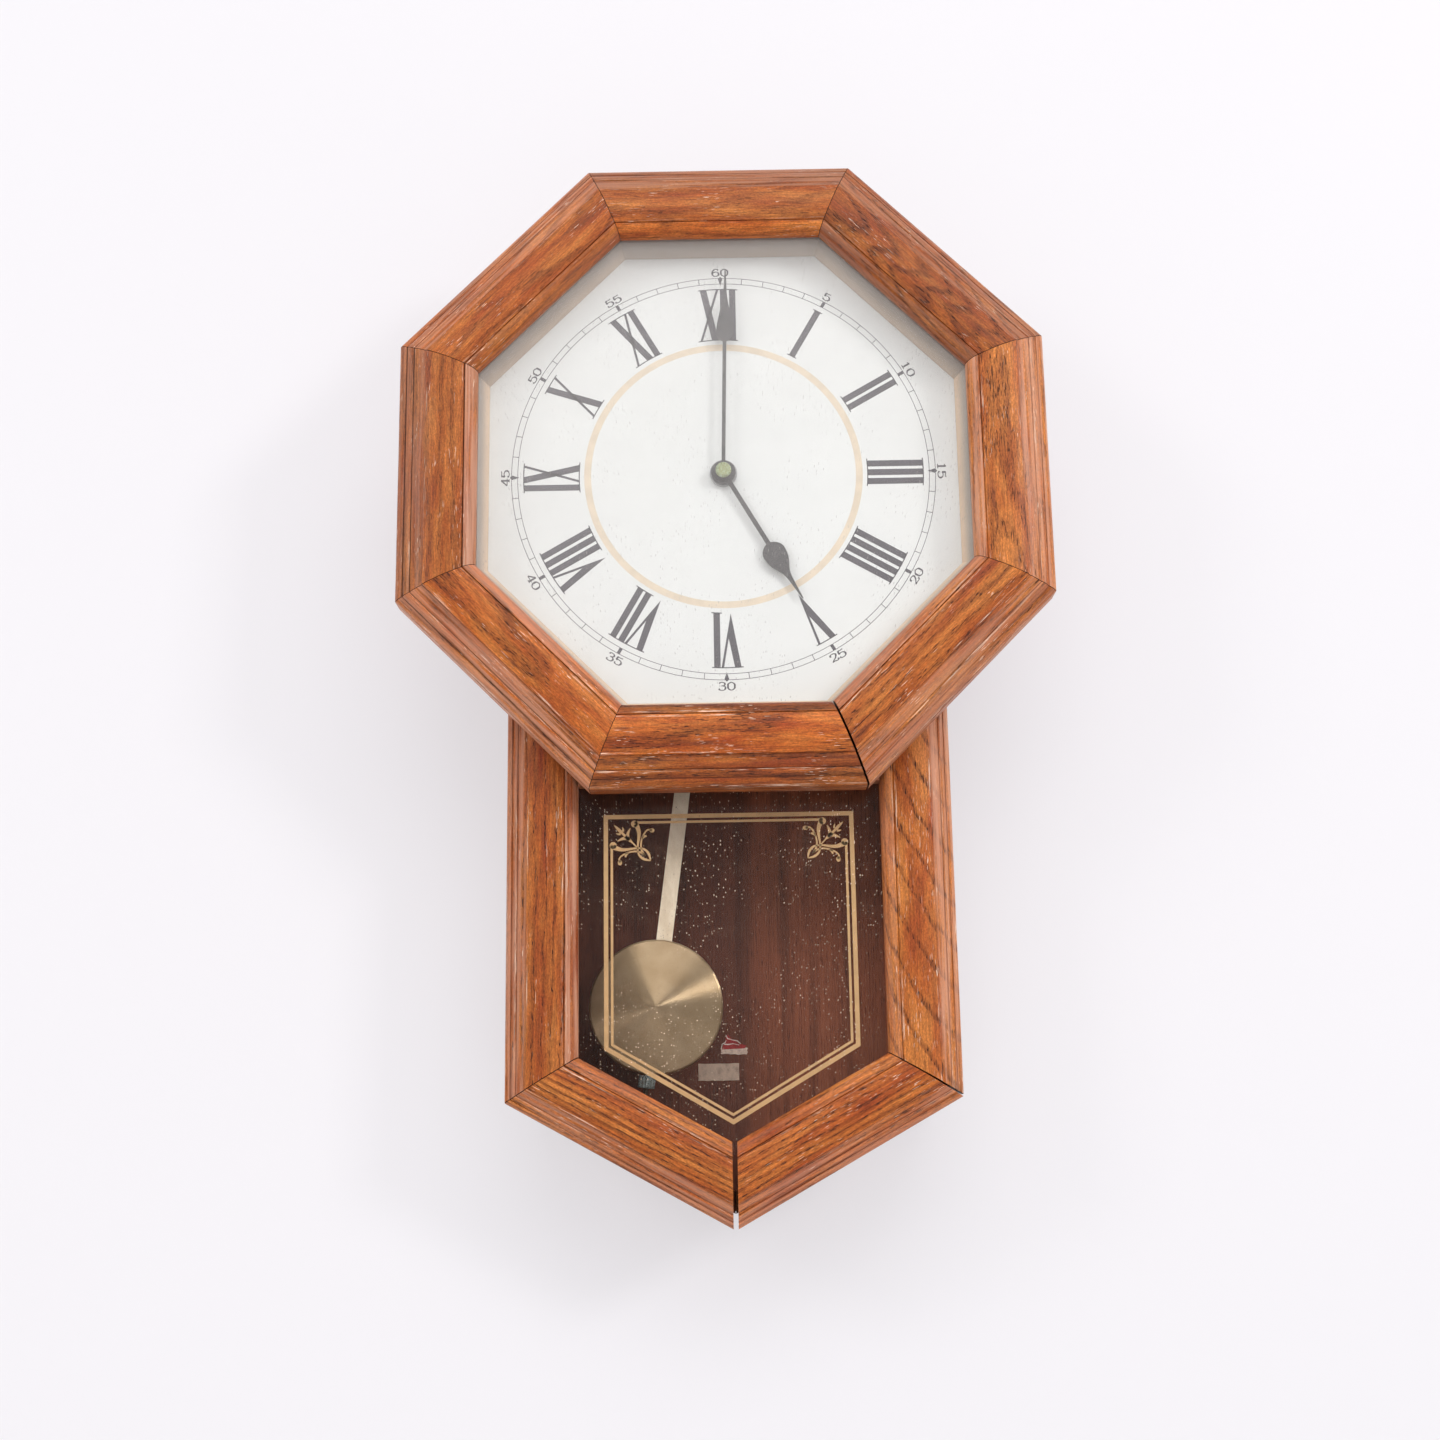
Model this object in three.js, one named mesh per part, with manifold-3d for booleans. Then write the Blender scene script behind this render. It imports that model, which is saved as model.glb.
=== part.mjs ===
// Octagonal pendulum wall clock, battery driven, with a chime.
// Millimetres, +Z up, the clock faces -Y. The origin is where the wall nail seats in the hanger plate,
// in the wall plane. Inside the "clock" group the dial's front is y = 0 and its centre is x = z = 0.
import * as THREE from "three";
import { mergeVertices } from "three/addons/utils/BufferGeometryUtils.js";
import Module from "manifold-3d";

const wasm = await Module();
wasm.setup();

// ---------------------------------------------------------------- driving dimensions
const GAP = 0.3; // between pieces that touch
const RUNNING = 0.1; // radial clearance of a shaft in its bore

const CASE_DEPTH = 78; // dial front to wall
const BEZEL = {
  inner: 124.2, // apothem of the opening
  outer: 164.8, // apothem of the outside
  lip: 6.0,
  ogee: 14.9,
  crest: 22.9, // front of the moulding, ahead of the dial
  lipFall: 6.9,
  shoulderFall: 2.4,
  edge: 10.4,
  back: -4.0,
  rabbet: 5.3,
  rabbetTop: 13.4,
};
// Shared by the mouldings: quirks between the bands, the step below face and lip, and the crowns.
const MOULDING = { half: 0.35, deep: 0.5, step: 1.1, face: 1.3, lip: 1.2 };
// Each band of the ogee, as shares of its width and of its fall.
const OGEE_BANDS = [
  { end: 0.46, top: 0, foot: 0.3, rise: 0.35, steps: 4 },
  { end: 0.73, top: 0.34, foot: 0.56, rise: 0.45, steps: 3 },
  { end: 1, top: 0.6, foot: 1, rise: 0.5, steps: 4 },
];
const BACK_EDGE = { rise: 1.2, inset: 0.8 }; // chamfer of the outer edge at the back
const MITRE_GAP = 0.3;
const OPEN_MITRE = 1.1; // the joint that has pulled apart, between bottom and lower right

const GLASS_THICKNESS = 2.0;
const DIAL_THICKNESS = 0.8;
const SPACER_SLOPE = 4.3; // how far the spacer leans in from the glass to the dial
const BACKING_THICKNESS = 2.9;

const FRAME = {
  inner: 75.0, // half width of the window
  outer: 110.5, // half width outside
  lip: 6.5,
  ogee: 10.5,
  crest: -4.5, // front of the lower frame, behind the dial front
  lipFall: 4.6,
  shoulderFall: 1.5,
  edge: -12.0,
  back: -22.0,
  rabbet: 5.0,
  rabbetTop: -14.3,
};
const SHOULDER_Z = -313.7; // outer corner between stile and point rail
const POINT_DROP = 61.0; // shoulder down to the point
const TIP_GAP = 2.4; // the open joint at the point
const STILE_GAP_INNER = 0.3;
const STILE_GAP_OUTER = 1.1; // the right stile's joint opens outwards
const TOP_RAIL_HEIGHT = 11.5;

const BEZEL_OVERHANG = 16.8; // moulding beyond the octagonal case
const FRAME_OVERHANG = 6.5; // lower frame beyond the lower box
const BOARD = 9;
const BACK_BOARD = 4;

const CUTOUT_MARGIN = { side: 8, low: 10, high: 7 }; // room round the movement
const HANGER = { width: 56, height: 26, thickness: 1.5, nailHead: 5, nailShank: 2.3, seat: 7 };
const HANGER_RAISE = 4; // above the middle of the board over the cut-out
const HANGER_SCREW = { x: 20, head: 3.2, shank: 1.3, length: 4.6, point: 0.8, slot: 1 };
const SCREW_SUNK = 0.1; // screw heads below the wall plane

const HAND_MARGIN = 8.9; // minute hand's tip to the spacer
const MINUTE_HAND = { angle: 1.4, stem: 0.95, spade: 4.4, spadeAt: 75, neckAt: 97, hub: 4.6 };
const HOUR_HAND = { angle: 150.1, length: 78, stem: 1.15, spade: 6.0, spadeAt: 50, neckAt: 66, hub: 6.35 };
// Curve of a spade, as multiples of its half width or of the stem's.
const SPADE = { base: 0.85, flare: 0.5, shoulder: 1.4, neck: 1.2, throat: 1.5, fine: 0.6, fillet: 0.6 };
const HAND_TIP = 0.3;
const HAND_THICKNESS = 0.5;
const HOUR_HAND_HEIGHT = 2.8; // back of the hour hand, ahead of the dial
const MINUTE_HAND_HEIGHT = 5.2;
const CAP = { radius: 4.0, height: 1.9, round: 0.9, roof: 0.7 };

const BUSH_RADIUS = 4.8;
const BUSH_PROUD = 2.1;
const BUSH_NUT = { radius: 7.0, thickness: 1.7 };
const PIPE_RADIUS = 2.5;
const ARBOR_RADIUS = 1.5;

const SHELL = { low: -50, wall: 2.0, partition: 29, ahead: 1.3 }; // the movement's plastic case
const COVER = 2.0;
const CELL = { radius: 12.8, length: 49, nub: 2.6, nubRadius: 3.2, round: 0.8 };
const CELL_ROOM = { end: 10, high: 2.4, spring: 2.8, middle: 1 }; // in the battery bay, round the two cells
const MODULE_MM = 0.5;
const TEETH = { cannon: 12, wheel: 36, pinion: 10, hour: 40, set: 12 };
const WHEEL_ANGLE = 120; // where the minute wheel sits about the centre, clockwise from 12
const SET_ANGLE = 105; // where the setting pinion sits about the minute wheel
const TRAIN_FRONT = 8.2;
const WHEEL_THICKNESS = 1.5;
const SET_KNOB = { radius: 7.5, length: 7 };
const VOLUME = { x: 44, z: -33, radius: 7, length: 4.5 };
const SELECTOR = { x: 43, z: 14, travel: 10, width: 5, height: 4, proud: 3.5 };
const SPEAKER = { x: -40, z: -20, radius: 19, depth: 16, rim: 3, magnet: 0.45 };
const SLIT = { pitch: 6, half: 1.2, margin: 3 }; // in the cover, over the speaker
const GRIP = { half: 8, width: 1.2, pitch: 3, from: 4, proud: 0.8 }; // ribs on the battery door
const CIRCUIT = { left: 8, right: 56, low: -44, high: -20, y: 26, thickness: 1.6 };
const CHIP = { inset: 6, width: 12, height: 8, thickness: 2.5 };
const CAPACITOR = { radius: 4, length: 8, inset: 8, rise: 12 };
const COIL = { x: -2, z: -38, radius: 8, bore: 3, length: 7, flange: 0.8, wire: 6.5 };
const STUD_RADIUS = 0.9;

const PIVOT_Z = 25;
const TILT = 7.5; // where the pendulum stands at rest, clockwise from straight down
const BOB_DISTANCE = 294;
const BOB_RADIUS = 33.8;
const BOB_DEPTH = 4.4;
const BOB_CLEARANCE = 1.9; // behind the movement's cover
const BOB_SHEET = { skin: 0.7, dome: 0.25, round: 1, back: 1.4, backRound: 0.5 };
const ROD = { width: 8, thickness: 0.8, inBob: 6, aboveHook: 6 };
const ROD_INSET = 1.9; // bob front to rod
const HOOK_DISTANCE = 44;
const HOOK = { radius: 1.4, proud: 1.6, lip: 3.2, thickness: 0.8, play: 0.5, drop: 0.4 };
const ARM = { thickness: 2.0, width: 9, waist: 1.5, eyeRim: 0.5, taper: 12, behindRod: 1.3 };
const PIN = { radius: 1.5, head: 2.6, headLength: 1 };
const BRACKET = { half: 9, below: 6, above: 4, thickness: 1.2 };
const RATING_NUT = { radius: 4.25, height: 6, below: 0.5, knurls: 16, knurl: 0.35 };
const THREAD = { radius: 1.2, proud: 3.7, inRod: 3 };
const SUNK = 0.2; // how far a joined detail reaches into its base

// ---------------------------------------------------------------- derived places
const WALL_Y = CASE_DEPTH;
const BACK_FRONT_Y = WALL_Y - BACK_BOARD;
const GLASS_FRONT_Y = -(BEZEL.rabbetTop - GAP);
const GLASS_BACK_Y = GLASS_FRONT_Y + GLASS_THICKNESS;
const SEAT_APOTHEM = BEZEL.inner + BEZEL.rabbet - GAP;
const DIAL_VISIBLE = BEZEL.inner - SPACER_SLOPE;
const CASE_APOTHEM = BEZEL.outer - BEZEL_OVERHANG;
const CASE_HALF_WIDTH = FRAME.outer - FRAME_OVERHANG;
const CASE_FRONT_Y = -BEZEL.back + GAP;
const LOWER_FRONT_Y = -FRAME.back + GAP;
const BACKING_Y = DIAL_THICKNESS + GAP;
const MOVEMENT = {
  ...SHELL,
  front: BACKING_Y + BACKING_THICKNESS + SHELL.ahead,
  depth: SHELL.wall + GAP + 2 * CELL.radius + CELL_ROOM.spring,
  high: SHELL.partition + 2 * SHELL.wall + 2 * CELL.radius + CELL_ROOM.high,
  halfWidth: CELL.length + CELL_ROOM.end + SHELL.wall + CELL_ROOM.middle,
};
const LONG_HAND = { ...MINUTE_HAND, length: DIAL_VISIBLE - HAND_MARGIN };
const COVER_Y = MOVEMENT.front + MOVEMENT.depth + GAP;
const COVER_BACK_Y = COVER_Y + COVER;
const CUTOUT = {
  halfWidth: MOVEMENT.halfWidth + CUTOUT_MARGIN.side,
  low: MOVEMENT.low - CUTOUT_MARGIN.low,
  high: MOVEMENT.high + CUTOUT_MARGIN.high,
};
const HANGER_Z = (CUTOUT.high + CASE_APOTHEM) / 2 + HANGER_RAISE;
const BOB_FRONT = COVER_BACK_Y + BOB_CLEARANCE;
const ROD_Y = BOB_FRONT + ROD_INSET;
const ARM_Y = ROD_Y + ROD.thickness + ARM.behindRod;
const POINT_ANGLE = Math.atan2(POINT_DROP, FRAME.outer);
const NAIL_Z = HANGER_Z + HANGER.seat;
const CENTRES = (MODULE_MM * (TEETH.cannon + TEETH.wheel)) / 2;
const HOUR_MODULE = (2 * CENTRES) / (TEETH.pinion + TEETH.hour);
const OCTANT = Math.PI / 4;
const HALF_OCTANT = Math.PI / 8;

// ---------------------------------------------------------------- materials
const finish = (color, roughness, metalness = 0) =>
  new THREE.MeshStandardMaterial({ color, roughness, metalness });
const OAK = finish(0xb0622f, 0.42);
const OAK_DARK = finish(0x5b3423, 0.6);
const PLYWOOD = finish(0x4a2a1e, 0.75);
const GLASS = new THREE.MeshStandardMaterial({
  color: 0xf4f6f4,
  roughness: 0.04,
  transparent: true,
  opacity: 0.25,
});
const DIAL_WHITE = finish(0xf1f3ec, 0.45);
const CREAM = finish(0xd9c5a4, 0.6);
const HARDBOARD = finish(0x6b4a30, 0.85);
const BLACK_PAINT = finish(0x2a2a2e, 0.4);
const BRASS = finish(0xb79a5c, 0.3, 1);
const CHAMPAGNE = finish(0xb8a77c, 0.35, 1);
const VERDIGRIS = finish(0x6f9a6a, 0.6, 0.5);
const STEEL = finish(0xa8a9ab, 0.35, 1);
const BLACK_PLASTIC = finish(0x1f1f21, 0.5);
const GREY_PLASTIC = finish(0x55565a, 0.5);
const NYLON = finish(0xe6e1d2, 0.45);
const BOARD_GREEN = finish(0x2f5a38, 0.5);
const COPPER = finish(0xa7603a, 0.35, 1);
const CELL_COAT = finish(0x8a2f2a, 0.3, 0.4);

// ---------------------------------------------------------------- geometry helpers
const rad = (degrees) => (degrees * Math.PI) / 180;

function toSolid(geometry) {
  const g = geometry.clone();
  g.deleteAttribute("normal");
  g.deleteAttribute("uv");
  const merged = mergeVertices(g, 1e-4);
  return new wasm.Manifold(
    new wasm.Mesh({
      numProp: 3,
      vertProperties: merged.attributes.position.array,
      triVerts: new Uint32Array(merged.index.array),
    }),
  );
}

function toGeometry(solid) {
  const mesh = solid.getMesh();
  const g = new THREE.BufferGeometry();
  g.setAttribute("position", new THREE.BufferAttribute(mesh.vertProperties, 3));
  g.setIndex(new THREE.BufferAttribute(mesh.triVerts, 1));
  const flat = g.toNonIndexed();
  flat.computeVertexNormals();
  return flat;
}

const cut = (base, ...tools) =>
  toGeometry(tools.reduce((s, t) => s.subtract(toSolid(t)), toSolid(base)));
const join = (base, ...more) =>
  toGeometry(more.reduce((s, t) => s.add(toSolid(t)), toSolid(base)));

function box(x0, x1, y0, y1, z0, z1) {
  const g = new THREE.BoxGeometry(x1 - x0, y1 - y0, z1 - z0);
  return g.translate((x0 + x1) / 2, (y0 + y1) / 2, (z0 + z1) / 2);
}

// A shape drawn in the clock's X-Z plane, as a plate from y0 to y1.
function plate(shape, y0, y1, curveSegments = 12) {
  const g = new THREE.ExtrudeGeometry(shape, { depth: y1 - y0, bevelEnabled: false, curveSegments });
  return g.rotateX(Math.PI / 2).translate(0, y1, 0);
}

// A cylinder along Y, moved to x, z.
function post(radius, y0, y1, x = 0, z = 0, sides = 24) {
  const g = new THREE.CylinderGeometry(radius, radius, y1 - y0, sides);
  return g.translate(x, (y0 + y1) / 2, z);
}

// A closed profile of [radius, y] points turned about Y.
function turned(profile, sides = 32, start = 0) {
  const points = profile.map(([r, y]) => new THREE.Vector2(r, y));
  const closed = profile[0][0] < 1e-9 ? points : [...points, points[0].clone()];
  return new THREE.LatheGeometry(closed, sides, start);
}

const ring = (inner, outer, y0, y1, sides = 32) =>
  turned([[inner, y0], [outer, y0], [outer, y1], [inner, y1]], sides);

function polygon(points) {
  return new THREE.Shape(points.map(([x, z]) => new THREE.Vector2(x, z)));
}

function circleHole(x, z, radius, sides = 24) {
  const at = (i) => (2 * Math.PI * i) / sides;
  const points = [...Array(sides).keys()].map(
    (i) => new THREE.Vector2(x + radius * Math.cos(at(i)), z + radius * Math.sin(at(i))),
  );
  return new THREE.Path(points);
}

function octagon(apothem) {
  const r = apothem / Math.cos(HALF_OCTANT);
  const corner = (i) => [r * Math.sin((i + 0.5) * OCTANT), r * Math.cos((i + 0.5) * OCTANT)];
  return polygon([...Array(8).keys()].map(corner));
}

// Points from a to b along a shallow arc that rises by "bulge" to the left of a -> b.
function arc(a, b, bulge, steps) {
  const length = Math.hypot(b[0] - a[0], b[1] - a[1]);
  const normal = [-(b[1] - a[1]) / length, (b[0] - a[0]) / length];
  return [...Array(steps + 1).keys()].map((i) => {
    const t = i / steps;
    const lift = bulge * 4 * t * (1 - t);
    return [a[0] + (b[0] - a[0]) * t + normal[0] * lift, a[1] + (b[1] - a[1]) * t + normal[1] * lift];
  });
}

// ---------------------------------------------------------------- framed members
// A member runs along local X, faces -Y, and its width is along local Z, measured from the clock's centre.
// startAt and endAt give the X of each end as a function of that width, which makes any mitre.
function member(outline, startAt, endAt) {
  const shape = new THREE.Shape(outline.map(([u, h]) => new THREE.Vector2(u, -h)));
  const g = new THREE.ExtrudeGeometry(shape, { depth: 1, bevelEnabled: false });
  const p = g.attributes.position;
  for (let i = 0; i < p.count; i++) {
    const u = p.getX(i);
    const along = p.getZ(i) < 0.5 ? endAt(u) : startAt(u);
    p.setXYZ(i, along, p.getY(i), u);
  }
  g.computeVertexNormals();
  return g;
}

// Outline of a moulding as [distance from the centre, height]: a bead round the opening, a broad
// crowned face, then an ogee band and two small beads that step down to the outer edge.
function mouldingOutline(m) {
  const { half, deep, step, face, lip } = MOULDING;
  const lipEnd = m.inner + m.lip;
  const shoulder = m.outer - m.ogee;
  return [
    ...arc([m.inner, m.crest - m.lipFall], [lipEnd - half, m.crest - step], lip, 5),
    [lipEnd, m.crest - step - deep],
    ...arc([lipEnd + half, m.crest - step], [shoulder, m.crest - m.shoulderFall], face, 7),
    ...ogeeOutline(m),
    [m.outer, m.back + BACK_EDGE.rise],
    [m.outer - BACK_EDGE.inset, m.back],
    [m.inner + m.rabbet, m.back],
    [m.inner + m.rabbet, m.rabbetTop],
    [m.inner, m.rabbetTop],
  ];
}

function ogeeOutline(m) {
  const shoulder = m.outer - m.ogee;
  const top = m.crest - m.shoulderFall - MOULDING.step;
  const heightAt = (share) => top - share * (top - m.edge);
  let start = shoulder;
  return OGEE_BANDS.flatMap((band) => {
    const end = shoulder + band.end * m.ogee;
    const last = band.end === 1;
    const from = [start + MOULDING.half, heightAt(band.top)];
    const to = [last ? end : end - MOULDING.half, heightAt(band.foot)];
    start = end;
    const points = arc(from, to, band.rise, band.steps);
    return last ? points : [...points, [end, heightAt(band.foot) - MOULDING.deep]];
  });
}

const boardOutline = (outer, frontY, backY) => [
  [outer - BOARD, -frontY],
  [outer, -frontY],
  [outer, -backY],
  [outer - BOARD, -backY],
];

const SIDE_NAMES = [
  "top",
  "top_right",
  "right",
  "bottom_right",
  "bottom",
  "bottom_left",
  "left",
  "top_left",
];
const BOTTOM_SIDE = 4;

// The x of an octagon side's end, where half of the joint's gap is left open.
const octagonEnd = (gap) => (u) => u * Math.tan(HALF_OCTANT) - gap / 2 / Math.cos(HALF_OCTANT);

function octagonSides(prefix, outline, material, gapAfter, skip = -1) {
  const sides = new THREE.Group();
  SIDE_NAMES.forEach((side, k) => {
    if (k === skip) return;
    const before = octagonEnd(gapAfter((k + 7) % 8));
    const geometry = member(outline, (u) => -before(u), octagonEnd(gapAfter(k)));
    const mesh = add(sides, prefix + "_" + side, geometry, material);
    mesh.rotation.y = k * OCTANT;
  });
  return sides;
}

function add(parent, name, geometry, material) {
  const mesh = new THREE.Mesh(geometry, material);
  mesh.name = name;
  parent.add(mesh);
  return mesh;
}

// ---------------------------------------------------------------- lower frame and box
const railOuter = (halfWidth) =>
  halfWidth * Math.sin(POINT_ANGLE) - (SHOULDER_Z + shoulderRise(halfWidth)) * Math.cos(POINT_ANGLE);
// A narrower box keeps the same offset from the frame along the point rails as along the stiles.
function shoulderRise(halfWidth) {
  const inset = FRAME.outer - halfWidth;
  const mitre = Math.tan((Math.PI / 2 - POINT_ANGLE) / 2);
  return inset * mitre;
}

// Right-hand stile: width along world X, length down the clock.
function stile(outline, halfWidth, gapInner, gapOuter) {
  const inner = halfWidth - outlineWidth(outline);
  const topAt = (u) => Math.SQRT2 * (CASE_APOTHEM + GAP) - u;
  const bottomAt = (u) => {
    const open = gapInner + ((gapOuter - gapInner) * (u - inner)) / (halfWidth - inner);
    return -shoulderMitreZ(halfWidth, u) - open;
  };
  const g = member(outline, topAt, bottomAt);
  return g.rotateY(Math.PI / 2);
}

const outlineWidth = (outline) =>
  Math.max(...outline.map((p) => p[0])) - Math.min(...outline.map((p) => p[0]));

// Height of the shoulder mitre at distance x from the centre line.
function shoulderMitreZ(halfWidth, x) {
  const mitre = Math.tan((Math.PI / 2 - POINT_ANGLE) / 2);
  return SHOULDER_Z + shoulderRise(halfWidth) + (halfWidth - x) * mitre;
}

// Right-hand point rail, from the shoulder down to the centre line.
function pointRail(outline, halfWidth, tipGap) {
  const theta = Math.PI - POINT_ANGLE;
  const outer = railOuter(halfWidth);
  const local = outline.map(([u, h]) => [u + outer - halfWidth, h]);
  const shoulderAt = (u) => {
    const x = halfWidth - (outer - u);
    return (x - u * Math.sin(theta)) / Math.cos(theta) + GAP / 2;
  };
  const tipAt = (u) => u * Math.tan(POINT_ANGLE) - tipGap / 2 / Math.cos(POINT_ANGLE);
  return member(local, shoulderAt, tipAt).rotateY(theta);
}

function lowerFrame() {
  const frame = new THREE.Group();
  const right = new THREE.Group();
  const left = new THREE.Group();
  left.scale.x = -1;
  frame.add(right, left);
  const outline = mouldingOutline(FRAME);
  add(right, "right_stile", stile(outline, FRAME.outer, STILE_GAP_INNER, STILE_GAP_OUTER), OAK);
  add(left, "left_stile", stile(outline, FRAME.outer, GAP, GAP), OAK);
  add(right, "right_point_rail", pointRail(outline, FRAME.outer, TIP_GAP), OAK);
  add(left, "left_point_rail", pointRail(outline, FRAME.outer, TIP_GAP), OAK);
  const railTop = -(CASE_APOTHEM + GAP);
  const railHalf = FRAME.inner - GAP;
  const rail = box(-railHalf, railHalf, -FRAME.crest, -FRAME.rabbetTop, railTop - TOP_RAIL_HEIGHT, railTop);
  add(frame, "lower_top_rail", rail, OAK);
  return frame;
}

function lowerGlass() {
  const half = FRAME.inner + FRAME.rabbet - GAP;
  const shoulder = shoulderMitreZ(FRAME.outer, half) - GAP * Math.tan(POINT_ANGLE);
  const tip = shoulder - half * Math.tan(POINT_ANGLE);
  const top = -(CASE_APOTHEM + 2 * GAP);
  const outline = polygon([[half, top], [half, shoulder], [0, tip], [-half, shoulder], [-half, top]]);
  const front = -FRAME.rabbetTop + GAP;
  return plate(outline, front, front + GLASS_THICKNESS);
}

function lowerBox() {
  const lower = new THREE.Group();
  const outline = boardOutline(CASE_HALF_WIDTH, LOWER_FRONT_Y, BACK_FRONT_Y - GAP);
  for (const side of ["right", "left"]) {
    const half = new THREE.Group();
    half.scale.x = side === "right" ? 1 : -1;
    lower.add(half);
    add(half, "box_" + side, stile(outline, CASE_HALF_WIDTH, GAP, GAP), OAK_DARK);
    add(half, "box_point_" + side, pointRail(outline, CASE_HALF_WIDTH, GAP), OAK_DARK);
  }
  return lower;
}

// ---------------------------------------------------------------- back and hanger
function backOutline() {
  const a = CASE_APOTHEM;
  const corner = a * Math.tan(HALF_OCTANT);
  const w = CASE_HALF_WIDTH;
  const shoulder = SHOULDER_Z + shoulderRise(w);
  const right = [
    [corner, a],
    [a, corner],
    [a, -corner],
    [w, w - Math.SQRT2 * a],
    [w, shoulder],
  ];
  const left = right.map(([x, z]) => [-x, z]).reverse();
  const tip = [0, shoulder - w * Math.tan(POINT_ANGLE)];
  return [...right, tip, ...left];
}

function keyhole(headRadius, shankRadius, seat) {
  const shape = new THREE.Shape();
  const half = Math.asin(shankRadius / headRadius);
  const up = Math.PI / 2;
  shape.absarc(0, HANGER_Z, headRadius, up - half, up + half, true);
  shape.absarc(0, HANGER_Z + seat, shankRadius, Math.PI, 0, true);
  shape.closePath();
  return shape;
}

function countersink(x, clearance) {
  const throat = WALL_Y - HANGER.thickness - GAP;
  const cone = turned([
    [0, throat],
    [HANGER_SCREW.shank + clearance, throat],
    [HANGER_SCREW.head + clearance, WALL_Y - SCREW_SUNK],
    [HANGER_SCREW.head + clearance, WALL_Y + 1],
    [0, WALL_Y + 1],
  ], 20);
  return cone.translate(x, 0, HANGER_Z);
}

function backBoard() {
  const board = plate(polygon(backOutline()), BACK_FRONT_Y, WALL_Y);
  const c = CUTOUT;
  const opening = box(-c.halfWidth, c.halfWidth, BACK_FRONT_Y - 1, WALL_Y + 1, c.low, c.high);
  const w = HANGER.width / 2 + GAP;
  const h = HANGER.height / 2 + GAP;
  const depth = WALL_Y - HANGER.thickness - GAP;
  const recess = box(-w, w, depth, WALL_Y + 1, HANGER_Z - h, HANGER_Z + h);
  const room = keyhole(HANGER.nailHead + 1, HANGER.nailHead, HANGER.seat);
  const nailRoom = plate(room, BACK_FRONT_Y - 1, WALL_Y);
  const pilots = [-1, 1].map((s) =>
    post(HANGER_SCREW.shank + RUNNING, BACK_FRONT_Y - 1, WALL_Y, s * HANGER_SCREW.x, HANGER_Z, 20),
  );
  return cut(board, opening, recess, nailRoom, ...pilots);
}

function hangerPlate() {
  const w = HANGER.width / 2;
  const h = HANGER.height / 2;
  const blank = box(-w, w, WALL_Y - HANGER.thickness, WALL_Y, HANGER_Z - h, HANGER_Z + h);
  const key = keyhole(HANGER.nailHead, HANGER.nailShank, HANGER.seat);
  const slot = plate(key, BACK_FRONT_Y, WALL_Y + 1);
  const sinks = [-1, 1].map((s) => countersink(s * HANGER_SCREW.x, RUNNING));
  return cut(blank, slot, ...sinks);
}

function hangerScrew(x) {
  const throat = WALL_Y - HANGER.thickness - GAP;
  const screw = turned([
    [0, WALL_Y - HANGER_SCREW.length],
    [HANGER_SCREW.shank * 0.6, WALL_Y - HANGER_SCREW.length],
    [HANGER_SCREW.shank, WALL_Y - HANGER_SCREW.length + HANGER_SCREW.point],
    [HANGER_SCREW.shank, throat],
    [HANGER_SCREW.head, WALL_Y - SCREW_SUNK],
    [0, WALL_Y - SCREW_SUNK],
  ], 20).translate(x, 0, HANGER_Z);
  const { head, slot } = HANGER_SCREW;
  const [left, right] = [x - slot / 2, x + slot / 2];
  return cut(screw, box(left, right, WALL_Y - 0.8, WALL_Y + 1, HANGER_Z - head, HANGER_Z + head));
}

// ---------------------------------------------------------------- dial and hands
function dialSpacer() {
  const wide = 1 / Math.cos(HALF_OCTANT);
  const back = -GAP;
  const front = GLASS_BACK_Y + GAP;
  return turned([
    [DIAL_VISIBLE * wide, back],
    [SEAT_APOTHEM * wide, back],
    [SEAT_APOTHEM * wide, front],
    [(BEZEL.inner + 0.2) * wide, front],
  ].reverse(), 8, HALF_OCTANT);
}

function octagonPlate(y0, y1, holeRadius) {
  const shape = octagon(SEAT_APOTHEM);
  if (holeRadius) shape.holes.push(circleHole(0, 0, holeRadius));
  return plate(shape, y0, y1);
}

// A spade hand pointing to 12: round hub, thin stem, pear-shaped spade, long fine tip.
function handShape(h, bore) {
  const half = handEdge(h);
  const lean = Math.asin(h.stem / h.hub);
  const shape = polygon([...half, ...half.map(([x, z]) => [-x, z]).reverse()]);
  shape.absarc(0, 0, h.hub, Math.PI / 2 + lean, Math.PI / 2 - lean + 2 * Math.PI, false);
  shape.holes.push(circleHole(0, 0, bore));
  return shape;
}

// The right-hand edge of a hand, from its hub to its tip.
function handEdge(h) {
  const { spade, spadeAt, stem, neckAt } = h;
  const base = spadeAt - SPADE.base * spade;
  const edge = new THREE.Path();
  edge.moveTo(stem, Math.sqrt(h.hub ** 2 - stem ** 2));
  edge.lineTo(stem, base - SPADE.fillet);
  edge.bezierCurveTo(spade * SPADE.flare, base, spade, spadeAt - spade * SPADE.flare, spade, spadeAt);
  const swell = spadeAt + spade * SPADE.shoulder;
  const taper = neckAt - spade * SPADE.neck;
  edge.bezierCurveTo(spade, swell, stem * SPADE.throat, taper, stem, neckAt);
  edge.quadraticCurveTo(stem * SPADE.fine, (neckAt + h.length) / 2, HAND_TIP, h.length);
  return edge.getPoints(8).map((p) => [p.x, p.y]);
}

const hand = (h, bore, height) => plate(handShape(h, bore), -(height + HAND_THICKNESS), -height, 8);

const centreBush = () =>
  ring(PIPE_RADIUS + RUNNING, BUSH_RADIUS, -BUSH_PROUD, MOVEMENT.front + MOVEMENT.wall);
const bushNut = () =>
  ring(BUSH_RADIUS + RUNNING, BUSH_NUT.radius, -GAP - BUSH_NUT.thickness, -GAP);

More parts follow.
